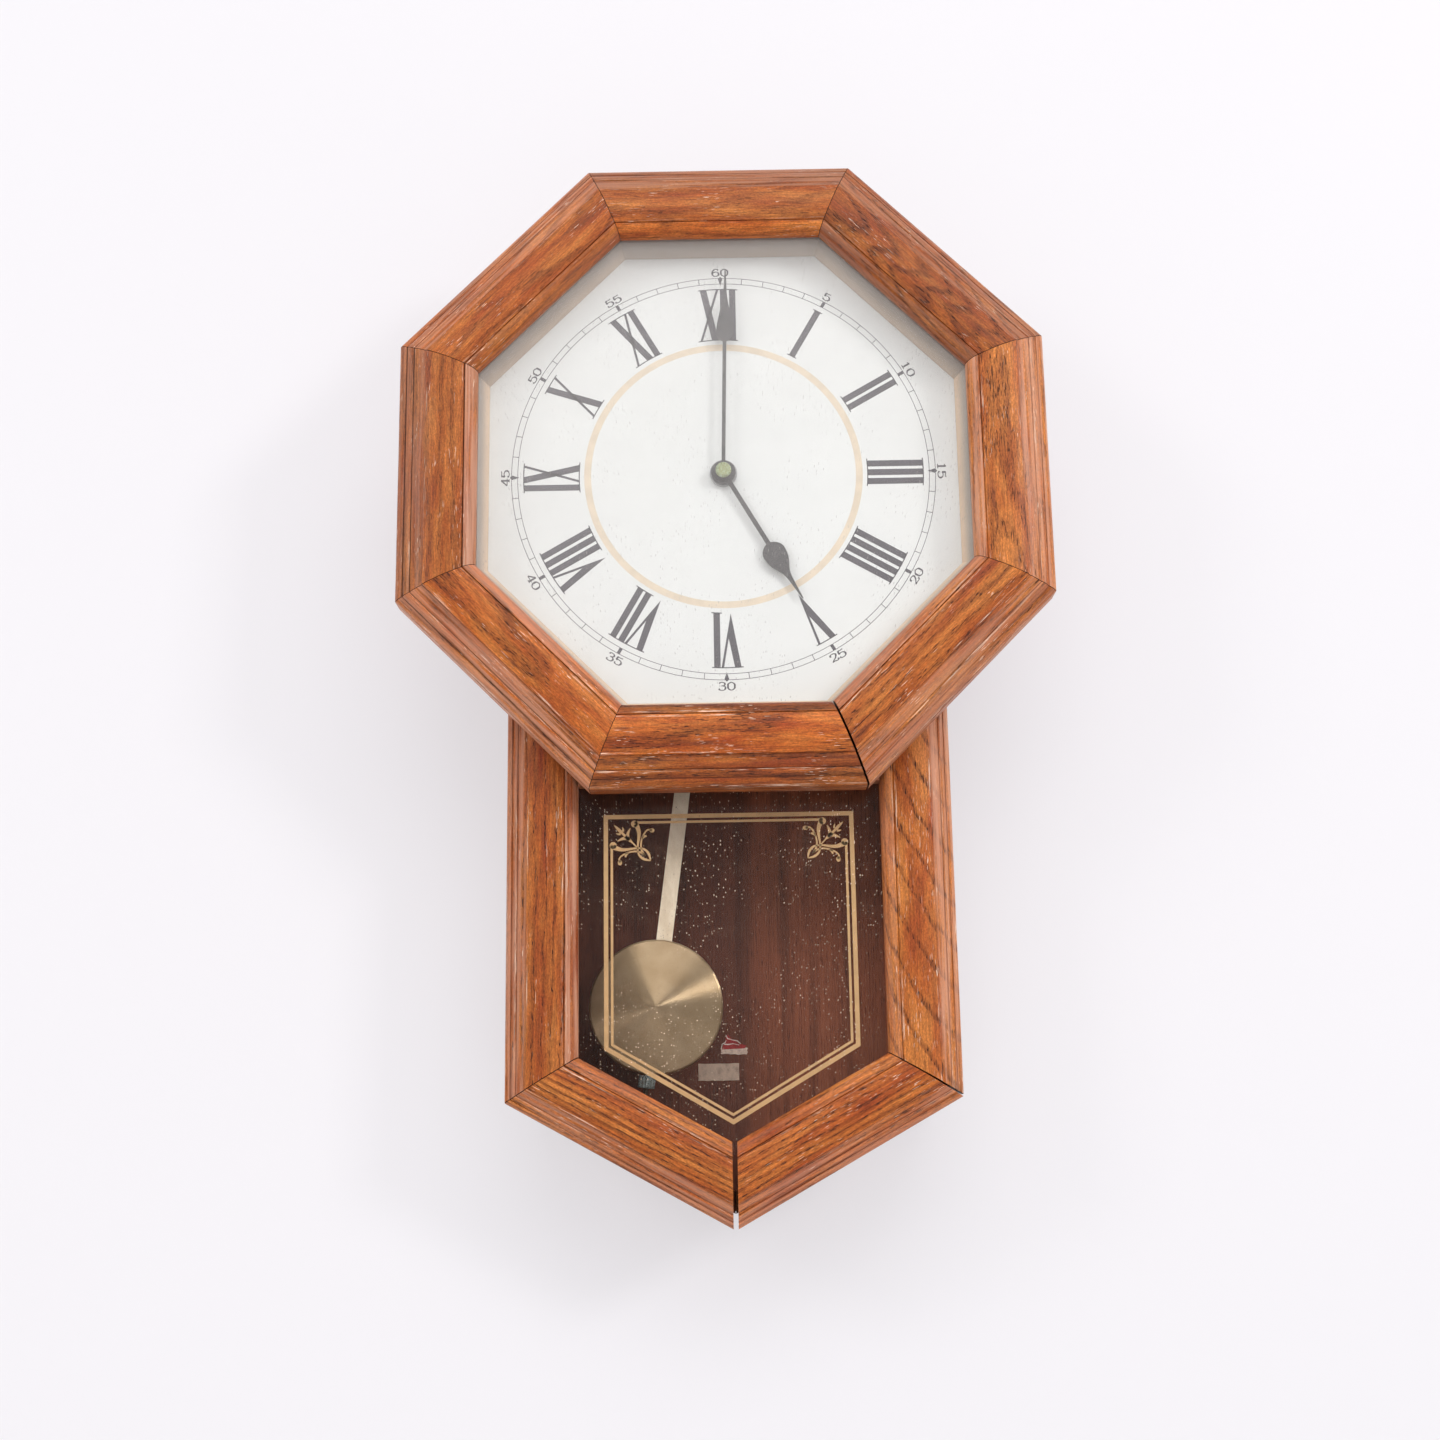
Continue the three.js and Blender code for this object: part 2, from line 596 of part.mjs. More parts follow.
function handNut() {
  const back = -(MINUTE_HAND_HEIGHT + HAND_THICKNESS + GAP);
  const top = back - CAP.height;
  const bore = ARBOR_RADIUS + RUNNING;
  return turned([
    [0, top],
    [CAP.radius - CAP.round, top],
    [CAP.radius - 0.3 * CAP.round, top + 0.4 * CAP.round],
    [CAP.radius, top + CAP.round],
    [CAP.radius, back],
    [bore, back],
    [bore, top + CAP.roof],
    [0, top + CAP.roof],
  ], 32);
}

// ---------------------------------------------------------------- movement
const about = (angle, distance) => [distance * Math.sin(angle), distance * Math.cos(angle)];
const WHEEL_AT = about(rad(WHEEL_ANGLE), CENTRES);
const SET_CENTRES = (MODULE_MM * (TEETH.wheel + TEETH.set)) / 2;
const SET_AT = about(rad(SET_ANGLE), SET_CENTRES).map((v, i) => v + WHEEL_AT[i]);

// Gear outline with a tooth centred at "phase", clockwise from +Z.
function gearShape(teeth, module, bore, phase) {
  const pitch = (2 * Math.PI) / teeth;
  const radius = (teeth * module) / 2;
  const root = radius - 1.15 * module;
  const tip = radius + 0.8 * module;
  const flank = [
    [-0.27, root],
    [-0.11, tip],
    [0.11, tip],
    [0.27, root],
  ];
  const points = [];
  for (let i = 0; i < teeth; i++)
    flank.forEach(([f, r]) => points.push(about(phase + (i + f) * pitch, r)));
  const shape = polygon(points);
  if (bore) shape.holes.push(circleHole(0, 0, bore));
  return shape;
}

// The phase that puts gear B in mesh with gear A, where B lies at "direction" from A.
const meshPhase = (phaseA, teethA, direction, teethB) =>
  direction + Math.PI + ((direction - phaseA) * teethA) / teethB + Math.PI / teethB;

const CANNON_PHASE = rad(WHEEL_ANGLE);
const WHEEL_PHASE = meshPhase(CANNON_PHASE, TEETH.cannon, rad(WHEEL_ANGLE), TEETH.wheel);
const SET_PHASE = meshPhase(WHEEL_PHASE, TEETH.wheel, rad(SET_ANGLE), TEETH.set);
const HOUR_PHASE = meshPhase(0, TEETH.pinion, rad(WHEEL_ANGLE) + Math.PI, TEETH.hour);
const HOUR_WHEEL_BACK = TRAIN_FRONT + WHEEL_THICKNESS;
const MINUTE_PLANE = HOUR_WHEEL_BACK + 1.2;

function movementCase() {
  const m = MOVEMENT;
  const back = m.front + m.depth;
  const w = m.wall;
  const block = box(-m.halfWidth, m.halfWidth, m.front, back, m.low, m.high);
  const train = box(-m.halfWidth + w, m.halfWidth - w, m.front + w, back + 1, m.low + w, m.partition);
  const cells = box(-m.halfWidth + w, m.halfWidth - w, m.front + w, back + 1, m.partition + w, m.high - w);
  const bushHole = post(BUSH_RADIUS + RUNNING, m.front - 1, m.front + w + 1);
  const stud = post(STUD_RADIUS, m.front + w / 2, MINUTE_PLANE + WHEEL_THICKNESS + 1, ...WHEEL_AT, 16);
  return join(cut(block, train, cells, bushHole), stud);
}

function backCover() {
  const m = MOVEMENT;
  const cover = box(-m.halfWidth, m.halfWidth, COVER_Y, COVER_BACK_Y, m.low, m.high);
  const [y0, y1] = [COVER_Y - 1, COVER_BACK_Y + 1];
  const door = doorSize();
  const doorHole = box(-door.half - GAP, door.half + GAP, y0, y1, door.low - GAP, door.high + GAP);
  const s = SELECTOR;
  const slotHalf = (s.travel + s.width) / 2 + GAP;
  const slotRise = s.height / 2 + GAP;
  const slot = box(s.x - slotHalf, s.x + slotHalf, y0, y1, s.z - slotRise, s.z + slotRise);
  const slits = [-2, -1, 0, 1, 2].map((i) => {
    const rise = i * SLIT.pitch;
    const half = Math.sqrt((SPEAKER.radius - SLIT.margin) ** 2 - rise ** 2);
    const [z0, z1] = [SPEAKER.z + rise - SLIT.half, SPEAKER.z + rise + SLIT.half];
    return box(SPEAKER.x - half, SPEAKER.x + half, y0, y1, z0, z1);
  });
  const shaft = ARBOR_RADIUS + RUNNING;
  const setHole = post(shaft, y0, y1, ...SET_AT);
  const volumeHole = post(shaft, y0, y1, VOLUME.x, VOLUME.z);
  return cut(cover, doorHole, slot, ...slits, setHole, volumeHole);
}

function doorSize() {
  const m = MOVEMENT;
  return { half: m.halfWidth - 2 * m.wall, low: m.partition + m.wall + 1, high: m.high - 2 * m.wall };
}

function batteryDoor() {
  const door = doorSize();
  const lid = box(-door.half, door.half, COVER_Y, COVER_BACK_Y, door.low, door.high);
  const grips = [0, 1, 2].map((i) => {
    const low = door.low + GRIP.from + GRIP.pitch * i;
    const [y0, y1] = [COVER_BACK_Y - SUNK, COVER_BACK_Y + GRIP.proud];
    return box(-GRIP.half, GRIP.half, y0, y1, low, low + GRIP.width);
  });
  return join(lid, ...grips);
}

function cell(x0) {
  const c = CELL;
  const can = c.length - c.nub;
  const g = turned([
    [0, 0],
    [c.radius - c.round, 0],
    [c.radius, c.round],
    [c.radius, can - c.round],
    [c.radius - c.round, can],
    [c.nubRadius, can],
    [c.nubRadius, c.length],
    [0, c.length],
  ], 24);
  const m = MOVEMENT;
  const z = (m.partition + m.wall + m.high - m.wall) / 2;
  return g.rotateZ(-Math.PI / 2).translate(x0, m.front + m.wall + GAP + c.radius, z);
}

function hourWheel() {
  const wheel = plate(
    gearShape(TEETH.hour, HOUR_MODULE, ARBOR_RADIUS + RUNNING, HOUR_PHASE),
    TRAIN_FRONT,
    HOUR_WHEEL_BACK,
  );
  const pipeEnd = -(HOUR_HAND_HEIGHT + HAND_THICKNESS + GAP);
  return join(wheel, ring(ARBOR_RADIUS + RUNNING, PIPE_RADIUS, pipeEnd, TRAIN_FRONT + 0.5, 24));
}

function minuteWheel() {
  const wheel = plate(
    gearShape(TEETH.wheel, MODULE_MM, STUD_RADIUS + RUNNING, WHEEL_PHASE),
    MINUTE_PLANE,
    MINUTE_PLANE + WHEEL_THICKNESS,
  );
  const leaves = gearShape(TEETH.pinion, HOUR_MODULE, STUD_RADIUS + RUNNING, 0);
  const pinion = plate(leaves, TRAIN_FRONT, MINUTE_PLANE + SUNK);
  return join(wheel, pinion).translate(WHEEL_AT[0], 0, WHEEL_AT[1]);
}

function minuteArbor() {
  const tip = -(MINUTE_HAND_HEIGHT + HAND_THICKNESS + GAP + CAP.height - 1);
  const gear = plate(
    gearShape(TEETH.cannon, MODULE_MM, 0, CANNON_PHASE),
    MINUTE_PLANE,
    MINUTE_PLANE + WHEEL_THICKNESS,
  );
  return join(gear, post(ARBOR_RADIUS, tip, MINUTE_PLANE + WHEEL_THICKNESS + 2));
}

function setPinion() {
  const teeth = gearShape(TEETH.set, MODULE_MM, 0, SET_PHASE);
  const gear = plate(teeth, MINUTE_PLANE, MINUTE_PLANE + WHEEL_THICKNESS);
  const shaft = post(ARBOR_RADIUS, MINUTE_PLANE - 1, COVER_BACK_Y + SET_KNOB.length - 1);
  return join(gear, shaft).translate(SET_AT[0], 0, SET_AT[1]);
}

// A ribbed knob on the rear of the cover, with a blind bore for its shaft.
function ribbedKnob(radius, length, x, z, ribs) {
  const shape = new THREE.Shape();
  for (let i = 0; i < 4 * ribs; i++) {
    const [px, pz] = about((i * Math.PI) / (2 * ribs), radius - (i % 4 < 2 ? 0 : 0.7));
    if (i === 0) shape.moveTo(px, pz);
    else shape.lineTo(px, pz);
  }
  const front = COVER_BACK_Y + GAP;
  const knob = plate(shape, front, front + length);
  const bore = post(ARBOR_RADIUS + RUNNING, front - 1, front + length - 1);
  return cut(knob, bore).translate(x, 0, z);
}

function volumeDial() {
  const v = VOLUME;
  const shaft = post(ARBOR_RADIUS, COVER_Y - 4, COVER_BACK_Y + 1, 0, 0);
  const front = COVER_BACK_Y + GAP;
  const pointer = box(-0.7, 0.7, front + v.length - 0.5, front + v.length + 0.5, 0, v.radius - 1);
  const disc = post(v.radius, front, front + v.length);
  return join(disc, shaft, pointer).translate(v.x, 0, v.z);
}

function chimeSelector() {
  const s = SELECTOR;
  const left = s.x - (s.travel + s.width) / 2;
  const half = s.height / 2;
  const stem = box(left, left + s.width, COVER_Y - 3, COVER_BACK_Y + s.proud, s.z - half, s.z + half);
  const wide = half + 1;
  const foot = box(left - 1, left + s.width + 1, COVER_Y - 3, COVER_Y - GAP, s.z - wide, s.z + wide);
  return join(stem, foot);
}

function speaker() {
  const s = SPEAKER;
  const back = COVER_Y - GAP;
  return turned([
    [0, back - s.depth],
    [s.radius * s.magnet, back - s.depth],
    [s.radius * s.magnet, back - s.depth * 0.5],
    [s.radius, back - s.rim],
    [s.radius, back],
    [s.radius - s.rim + 1, back],
    [s.radius - s.rim, back - s.rim / 2],
    [s.radius * 0.35, back - s.depth * 0.4],
    [0, back - s.depth * 0.32],
  ], 24).translate(s.x, 0, s.z);
}

function circuitBoard() {
  const c = CIRCUIT;
  const board = box(c.left, c.right, c.y, c.y + c.thickness, c.low, c.high);
  const [x, z] = [c.left + CHIP.inset, c.low + CHIP.inset];
  const chip = box(x, x + CHIP.width, c.y - CHIP.thickness, c.y + SUNK, z, z + CHIP.height);
  const k = CAPACITOR;
  const can = post(k.radius, c.y - k.length, c.y + SUNK, c.right - k.inset, c.low + k.rise, 20);
  return join(board, chip, can);
}

function driveCoil() {
  const back = COVER_Y - GAP;
  const c = COIL;
  return turned([
    [c.bore, back - c.length],
    [c.radius, back - c.length],
    [c.radius, back - c.length + c.flange],
    [c.wire, back - c.length + c.flange],
    [c.wire, back - c.flange],
    [c.radius, back - c.flange],
    [c.radius, back],
    [c.bore, back],
  ], 28).translate(c.x, 0, c.z);
}

// ---------------------------------------------------------------- pendulum
function pendulumBracket() {
  const b = BRACKET;
  const front = COVER_BACK_Y + GAP;
  const base = box(-b.half, b.half, front, front + b.thickness, PIVOT_Z - b.below, PIVOT_Z + b.above);
  const armBack = ARM_Y + ARM.thickness;
  const pin = post(PIN.radius, front + SUNK, armBack + 1, 0, PIVOT_Z);
  const head = post(PIN.head, armBack + GAP, armBack + GAP + PIN.headLength, 0, PIVOT_Z);
  return join(base, pin, head);
}

function pendulumArm() {
  const eye = ARM.width / 2;
  const half = eye - ARM.waist;
  const shape = new THREE.Shape();
  shape.absarc(0, 0, eye + ARM.eyeRim, 0, Math.PI, false);
  shape.lineTo(-half, -ARM.taper);
  shape.lineTo(-half, -HOOK_DISTANCE);
  shape.absarc(0, -HOOK_DISTANCE, half, Math.PI, 2 * Math.PI, false);
  shape.lineTo(half, -ARM.taper);
  shape.closePath();
  shape.holes.push(circleHole(0, 0, PIN.radius + RUNNING));
  const bar = plate(shape, ARM_Y, ARM_Y + ARM.thickness);
  const front = ROD_Y - HOOK.proud;
  const stud = post(HOOK.radius, front, ARM_Y + SUNK, 0, -HOOK_DISTANCE, 16);
  const [low, high] = [-HOOK_DISTANCE - HOOK.radius, -HOOK_DISTANCE + HOOK.lip];
  const lip = box(-HOOK.radius, HOOK.radius, front - HOOK.thickness, front + SUNK, low, high);
  return join(bar, stud, lip);
}

function pendulumRod() {
  const half = ROD.width / 2;
  const bobBottom = -(BOB_DISTANCE + BOB_RADIUS - ROD.inBob);
  const top = -(HOOK_DISTANCE - ROD.aboveHook);
  const shape = new THREE.Shape();
  shape.absarc(0, top, half, 0, Math.PI, false);
  shape.lineTo(-half, bobBottom);
  shape.lineTo(half, bobBottom);
  shape.closePath();
  shape.holes.push(circleHole(0, -HOOK_DISTANCE - HOOK.drop, HOOK.radius + HOOK.play));
  const bar = plate(shape, ROD_Y, ROD_Y + ROD.thickness);
  const end = -(BOB_DISTANCE + BOB_RADIUS + RATING_NUT.below + RATING_NUT.height + THREAD.proud);
  const start = bobBottom + THREAD.inRod;
  const thread = new THREE.CylinderGeometry(THREAD.radius, THREAD.radius, start - end, 16);
  thread.rotateX(Math.PI / 2).translate(0, ROD_Y + ROD.thickness / 2, (start + end) / 2);
  return join(bar, thread);
}

function bobFace() {
  const r = BOB_RADIUS;
  const { skin, dome, round } = BOB_SHEET;
  const y = BOB_FRONT;
  const back = y + BOB_DEPTH - 1;
  const cup = turned([
    [0, y],
    [r - round, y + dome],
    [r - round / 4, y + dome + round / 3],
    [r, y + dome + round],
    [r, back],
    [r - skin, back],
    [r - skin, y + dome + round + skin / 2],
    [r - skin - round / 2, y + dome + skin],
    [0, y + skin],
  ], 48).translate(0, 0, -BOB_DISTANCE);
  const half = ROD.width / 2 + GAP;
  const [low, high] = [-BOB_DISTANCE - r - 1, -BOB_DISTANCE + r + 1];
  return cut(cup, box(-half, half, y + skin + SUNK, y + BOB_DEPTH + 1, low, high));
}

function bobBack() {
  const front = BOB_FRONT + BOB_DEPTH - 1 + GAP;
  const { back, backRound } = BOB_SHEET;
  const disc = turned([
    [0, front],
    [BOB_RADIUS - backRound, front],
    [BOB_RADIUS, front + backRound],
    [BOB_RADIUS - backRound, front + back - backRound],
    [0, front + back],
  ], 48);
  return disc.translate(0, 0, -BOB_DISTANCE);
}

function ratingNut() {
  const n = RATING_NUT;
  const shape = new THREE.Shape();
  for (let i = 0; i < 2 * n.knurls; i++) {
    const [px, pz] = about((i * Math.PI) / n.knurls, n.radius - (i % 2 ? n.knurl : 0));
    if (i === 0) shape.moveTo(px, pz);
    else shape.lineTo(px, pz);
  }
  shape.holes.push(circleHole(0, 0, THREAD.radius + RUNNING));
  const g = new THREE.ExtrudeGeometry(shape, { depth: n.height, bevelEnabled: false, curveSegments: 8 });
  const low = -(BOB_DISTANCE + BOB_RADIUS + n.below + n.height);
  return g.translate(0, ROD_Y + ROD.thickness / 2, low);
}

// ---------------------------------------------------------------- assembly
const clock = new THREE.Group();

const openAfterBottomRight = (k) => (k === BOTTOM_SIDE - 1 ? OPEN_MITRE : MITRE_GAP);
clock.add(octagonSides("bezel", mouldingOutline(BEZEL), OAK, openAfterBottomRight));
const boards = boardOutline(CASE_APOTHEM, CASE_FRONT_Y, BACK_FRONT_Y - GAP);
clock.add(octagonSides("case", boards, OAK_DARK, () => GAP, BOTTOM_SIDE));
clock.add(lowerFrame(), lowerBox());
add(clock, "lower_glass", lowerGlass(), GLASS);
add(clock, "back_board", backBoard(), PLYWOOD);
add(clock, "hanger_plate", hangerPlate(), STEEL);
add(clock, "hanger_screw_left", hangerScrew(-HANGER_SCREW.x), STEEL);
add(clock, "hanger_screw_right", hangerScrew(HANGER_SCREW.x), STEEL);

const dial = new THREE.Group();
clock.add(dial);
add(dial, "dial_glass", octagonPlate(GLASS_FRONT_Y, GLASS_BACK_Y, 0), GLASS);
add(dial, "dial_spacer", dialSpacer(), CREAM);
add(dial, "dial_plate", octagonPlate(0, DIAL_THICKNESS, BUSH_RADIUS + GAP), DIAL_WHITE);
const BACKING_BACK_Y = BACKING_Y + BACKING_THICKNESS;
add(dial, "dial_backing", octagonPlate(BACKING_Y, BACKING_BACK_Y, BUSH_RADIUS + GAP), HARDBOARD);
add(dial, "centre_bush", centreBush(), BRASS);
add(dial, "bush_nut", bushNut(), BRASS);

const hands = new THREE.Group();
clock.add(hands);
const shortHand = hand(HOUR_HAND, PIPE_RADIUS + RUNNING, HOUR_HAND_HEIGHT);
const hour = add(hands, "hour_hand", shortHand, BLACK_PAINT);
hour.rotation.y = rad(HOUR_HAND.angle);
const longHand = hand(LONG_HAND, ARBOR_RADIUS + RUNNING, MINUTE_HAND_HEIGHT);
const minute = add(hands, "minute_hand", longHand, BLACK_PAINT);
minute.rotation.y = rad(MINUTE_HAND.angle);
add(hands, "hand_nut", handNut(), VERDIGRIS);

const movement = new THREE.Group();
clock.add(movement);
add(movement, "movement_case", movementCase(), BLACK_PLASTIC);
add(movement, "movement_cover", backCover(), BLACK_PLASTIC);
add(movement, "battery_door", batteryDoor(), GREY_PLASTIC);
add(movement, "battery_left", cell(-CELL.length - CELL_ROOM.middle), CELL_COAT);
add(movement, "battery_right", cell(CELL_ROOM.middle), CELL_COAT);
add(movement, "hour_wheel", hourWheel(), NYLON);
add(movement, "minute_wheel", minuteWheel(), NYLON);
add(movement, "minute_arbor", minuteArbor(), STEEL);
add(movement, "set_pinion", setPinion(), NYLON);
add(movement, "set_knob", ribbedKnob(SET_KNOB.radius, SET_KNOB.length, ...SET_AT, 12), GREY_PLASTIC);
add(movement, "volume_dial", volumeDial(), GREY_PLASTIC);
add(movement, "chime_selector", chimeSelector(), GREY_PLASTIC);
add(movement, "speaker", speaker(), BLACK_PLASTIC);
add(movement, "circuit_board", circuitBoard(), BOARD_GREEN);
add(movement, "drive_coil", driveCoil(), COPPER);
add(movement, "pendulum_bracket", pendulumBracket(), STEEL);

const pendulum = new THREE.Group();
pendulum.position.z = PIVOT_Z;
pendulum.rotation.y = rad(TILT);
clock.add(pendulum);
add(pendulum, "pendulum_arm", pendulumArm(), NYLON);
add(pendulum, "pendulum_rod", pendulumRod(), CHAMPAGNE);
add(pendulum, "bob_face", bobFace(), CHAMPAGNE);
add(pendulum, "bob_back", bobBack(), BRASS);
add(pendulum, "rating_nut", ratingNut(), VERDIGRIS);

clock.position.set(0, -WALL_Y, -NAIL_Z);
const group = new THREE.Group();
group.add(clock);
export default group;
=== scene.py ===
"""Octagonal pendulum wall clock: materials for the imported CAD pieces, with the printed dial, the
gilt border on the lower glass and the papers on the back board as pieces of their own.
Drawings are in millimetres, and everything placed in the scene is in metres."""
import bpy
import math
import random
from mathutils import Euler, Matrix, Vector


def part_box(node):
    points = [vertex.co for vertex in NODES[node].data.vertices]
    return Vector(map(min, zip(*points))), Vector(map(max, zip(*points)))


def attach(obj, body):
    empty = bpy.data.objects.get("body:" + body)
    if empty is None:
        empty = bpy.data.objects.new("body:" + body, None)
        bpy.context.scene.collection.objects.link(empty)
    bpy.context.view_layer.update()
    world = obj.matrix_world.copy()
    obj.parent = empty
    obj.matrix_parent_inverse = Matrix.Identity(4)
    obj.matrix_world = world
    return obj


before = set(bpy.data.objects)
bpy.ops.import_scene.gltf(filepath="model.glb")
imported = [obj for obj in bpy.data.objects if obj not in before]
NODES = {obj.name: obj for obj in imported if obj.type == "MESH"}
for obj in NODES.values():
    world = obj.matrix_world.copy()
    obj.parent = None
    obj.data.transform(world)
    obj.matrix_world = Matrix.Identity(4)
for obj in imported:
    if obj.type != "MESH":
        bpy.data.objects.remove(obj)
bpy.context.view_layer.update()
MM = 0.001


def middle(node):
    """Centre of a CAD node's box, in metres."""
    low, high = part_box(node)
    return (low + high) / 2


CENTRE = middle("hand_nut")
DIAL_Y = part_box("dial_plate")[0].y
INK = 0.03 * MM  # thickness of a printed layer


def srgb(r, g, b):
    """Linear colour from 0 to 255 display values."""
    def linear(c):
        c = c / 255
        return c / 12.92 if c <= 0.04045 else ((c + 0.055) / 1.055) ** 2.4
    return (linear(r), linear(g), linear(b), 1.0)


# ------ material trees
class Tree:
    """A material under construction, with short calls for the nodes used here."""

    def __init__(self, name):
        self.mat = bpy.data.materials.new(name)
        self.mat.use_nodes = True
        self.nt = self.mat.node_tree
        self.nt.nodes.clear()
        coords = self.node("TexCoord").outputs["Object"]
        self.place = self.put("VectorMath", {0: coords, "Scale": 1 / MM}, operation="SCALE")

    def node(self, kind, **settings):
        made = self.nt.nodes.new("ShaderNode" + kind)
        for key, value in settings.items():
            setattr(made, key, value)
        return made

    def feed(self, node, inputs):
        """Links or sets a node's inputs, given by name or number."""
        for key, value in inputs.items():
            if isinstance(value, bpy.types.NodeSocket):
                self.nt.links.new(value, node.inputs[key])
            else:
                node.inputs[key].default_value = value

    def put(self, kind, inputs, out=0, **settings):
        """One output of a new node."""
        made = self.node(kind, **settings)
        self.feed(made, inputs)
        return made.outputs[out]

    def math(self, operation, a, b=0.0, clamp=False):
        return self.put("Math", {0: a, 1: b}, operation=operation, use_clamp=clamp)

    def add(self, a, b):
        return self.math("ADD", a, b)

    def mul(self, a, b):
        return self.math("MULTIPLY", a, b)

    def dot(self, vector, direction):
        return self.put("VectorMath", {0: vector, 1: direction}, "Value",
                        operation="DOT_PRODUCT")

    def facing(self, direction):
        """How far the surface faces a direction: 1 straight at it, -1 away from it."""
        return self.dot(self.node("NewGeometry").outputs["Normal"], direction)

    def along(self, direction, offset=0.0):
        return self.add(self.dot(self.place, direction), offset)

    def join(self, x, y, z):
        return self.put("CombineXYZ", {0: x, 1: y, 2: z})

    def stretch(self, size, shift=0.0):
        """Coordinates with features of a size in millimetres, or of three sizes in x, y and z."""
        sizes = size if isinstance(size, tuple) else (size, size, size)
        return self.put("Mapping", {"Vector": self.place, "Scale": [1 / side for side in sizes],
                                    "Location": (shift, shift * 0.7, shift * 1.3)})

    def noise(self, vector, detail=2.0, rough=0.5, warp=0.0):
        return self.put("TexNoise", {"Vector": vector, "Scale": 1.0, "Detail": detail,
                                     "Roughness": rough, "Distortion": warp}, "Fac")

    def grain(self, size, shift=0.0, detail=2.0, rough=0.5, warp=0.0):
        return self.noise(self.stretch(size, shift), detail, rough, warp)

    def cells(self, size, shift):
        made = self.node("TexVoronoi")
        self.feed(made, {"Vector": self.stretch(size, shift), "Scale": 1.0})
        return made.outputs

    def ease(self, value, low, high, out_low=0.0, out_high=1.0):
        """A smooth step between two values as the input goes from low to high."""
        return self.put("MapRange", {"Value": value, "From Min": low, "From Max": high,
                                     "To Min": out_low, "To Max": out_high},
                        interpolation_type="SMOOTHSTEP")

    def ramp(self, value, stops):
        made = self.node("ValToRGB")
        items = made.color_ramp.elements
        while len(items) < len(stops):
            items.new(0.5)
        for item, (position, colour) in zip(items, stops):
            item.position = position
            item.color = colour
        self.feed(made, {0: value})
        return made.outputs["Color"]

    def mix(self, amount, a, b, blend="MIX"):
        return self.put("Mix", {0: amount, 6: a, 7: b}, 2, data_type="RGBA", blend_type=blend)

    def shade(self, colour, factor):
        """The colour, with each channel times factor."""
        return self.mix(1.0, colour, self.join(factor, factor, factor), "MULTIPLY")

    def vary(self, colour, by, dark, light, low=0.3, high=0.7):
        """The colour, from dark to light times itself as by goes from low to high."""
        return self.shade(colour, self.ease(by, low, high, dark, light))

    def bump(self, height, depth, strength=1.0):
        return self.put("Bump", {"Strength": strength, "Distance": depth * MM, "Height": height})

    def principled(self, **values):
        return self.put("BsdfPrincipled",
                        {key.replace("_", " "): value for key, value in values.items()})

    def blend(self, amount, a, b):
        return self.put("MixShader", {0: amount, 1: a, 2: b})

    def coat(self, **values):
        """The finished material, as one principled surface."""
        return self.done(self.principled(**values))

    def done(self, shader):
        self.feed(self.node("OutputMaterial"), {"Surface": shader})
        return self.mat


# ------ oak
WOOD_LIGHT = srgb(189, 114, 52)
WOOD_MID = srgb(170, 90, 35)
WOOD_RED = srgb(144, 62, 24)
WOOD_EARLY = srgb(100, 46, 18)
WOOD_PURPLE = srgb(106, 54, 34)
# Colour of the pores, and of the painted shade in the quirks.
WOOD_PORE_AND_SHADE = srgb(50, 24, 14)
WOOD_SCUFF = srgb(236, 208, 184)
# Painted sheen: the pale gloss of the varnish, put into the colour.
WOOD_SHEEN = srgb(200, 146, 118)
END_GRAIN = 0.12  # brightness of end grain, next to the long grain


def rings(t, u, v, w, look, seed):
    """Growth rings cut by the board: 1 in the porous early wood, 0 in the late wood."""
    slow = t.grain((150, 34, 34), seed, 2)
    quick = t.grain((30, 7, 7), seed + 3, 2)
    side = t.math("POWER", t.add(v, -look["pith"][0]), 2.0)
    deep = t.math("POWER", t.add(w, -look["pith"][1]), 2.0)
    radius = t.math("SQRT", t.add(side, deep))
    radius = t.add(radius, t.mul(u, look["slant"]))
    radius = t.add(radius, t.mul(slow, look["wander"]))
    radius = t.add(radius, t.mul(quick, look["wobble"]))
    phase = t.math("FRACT", t.mul(radius, 1 / look["spacing"]))
    rise = t.ease(phase, 1 - look["early"] * 0.45, 1.0)
    fall = t.ease(phase, 0.0, look["early"], 1.0, 0.0)
    return t.math("MAXIMUM", rise, fall)


def ridge_marks(t, v, ridges, width):
    """1 on each moulding edge, fading over width millimetres."""
    marks = 0.0
    for ridge in ridges:
        away = t.math("ABSOLUTE", t.add(v, -ridge))
        marks = t.math("MAXIMUM", marks, t.ease(away, 0.0, width, 1.0, 0.0))
    return marks


def stained_grain(t, early, fibre, look, seed):
    """The stain's colour with early wood, dark figure and the fine grain."""
    patch = t.grain((55, 12, 12), seed + 11, 3)
    tone = t.grain((48, 8, 8), seed + 17, 5, 0.6)
    streak = t.grain((30, 1.3, 1.3), seed + 19, 3, 0.6)
    figure = t.grain((34, 3.6, 3.6), seed + 31, 4, 0.6)
    grit = t.grain((1.3, 0.7, 0.7), seed + 37, 2, 0.7)
    colour = t.ramp(t.add(tone, look["tone"]),
                    [(0.34, WOOD_LIGHT), (0.52, WOOD_MID), (0.7, WOOD_RED)])
    early_amount = t.mul(early, t.ease(patch, 0.2, 0.62, 0.2, look["contrast"]))
    colour = t.mix(early_amount, colour, WOOD_EARLY)
    colour = t.mix(t.mul(t.ease(figure, 0.54, 0.72), look["figure"]), colour, WOOD_PURPLE)
    colour = t.vary(colour, streak, 0.85, 1.12)
    colour = t.vary(colour, fibre, 0.8, 1.16)
    return t.vary(colour, grit, 0.76, 1.2)


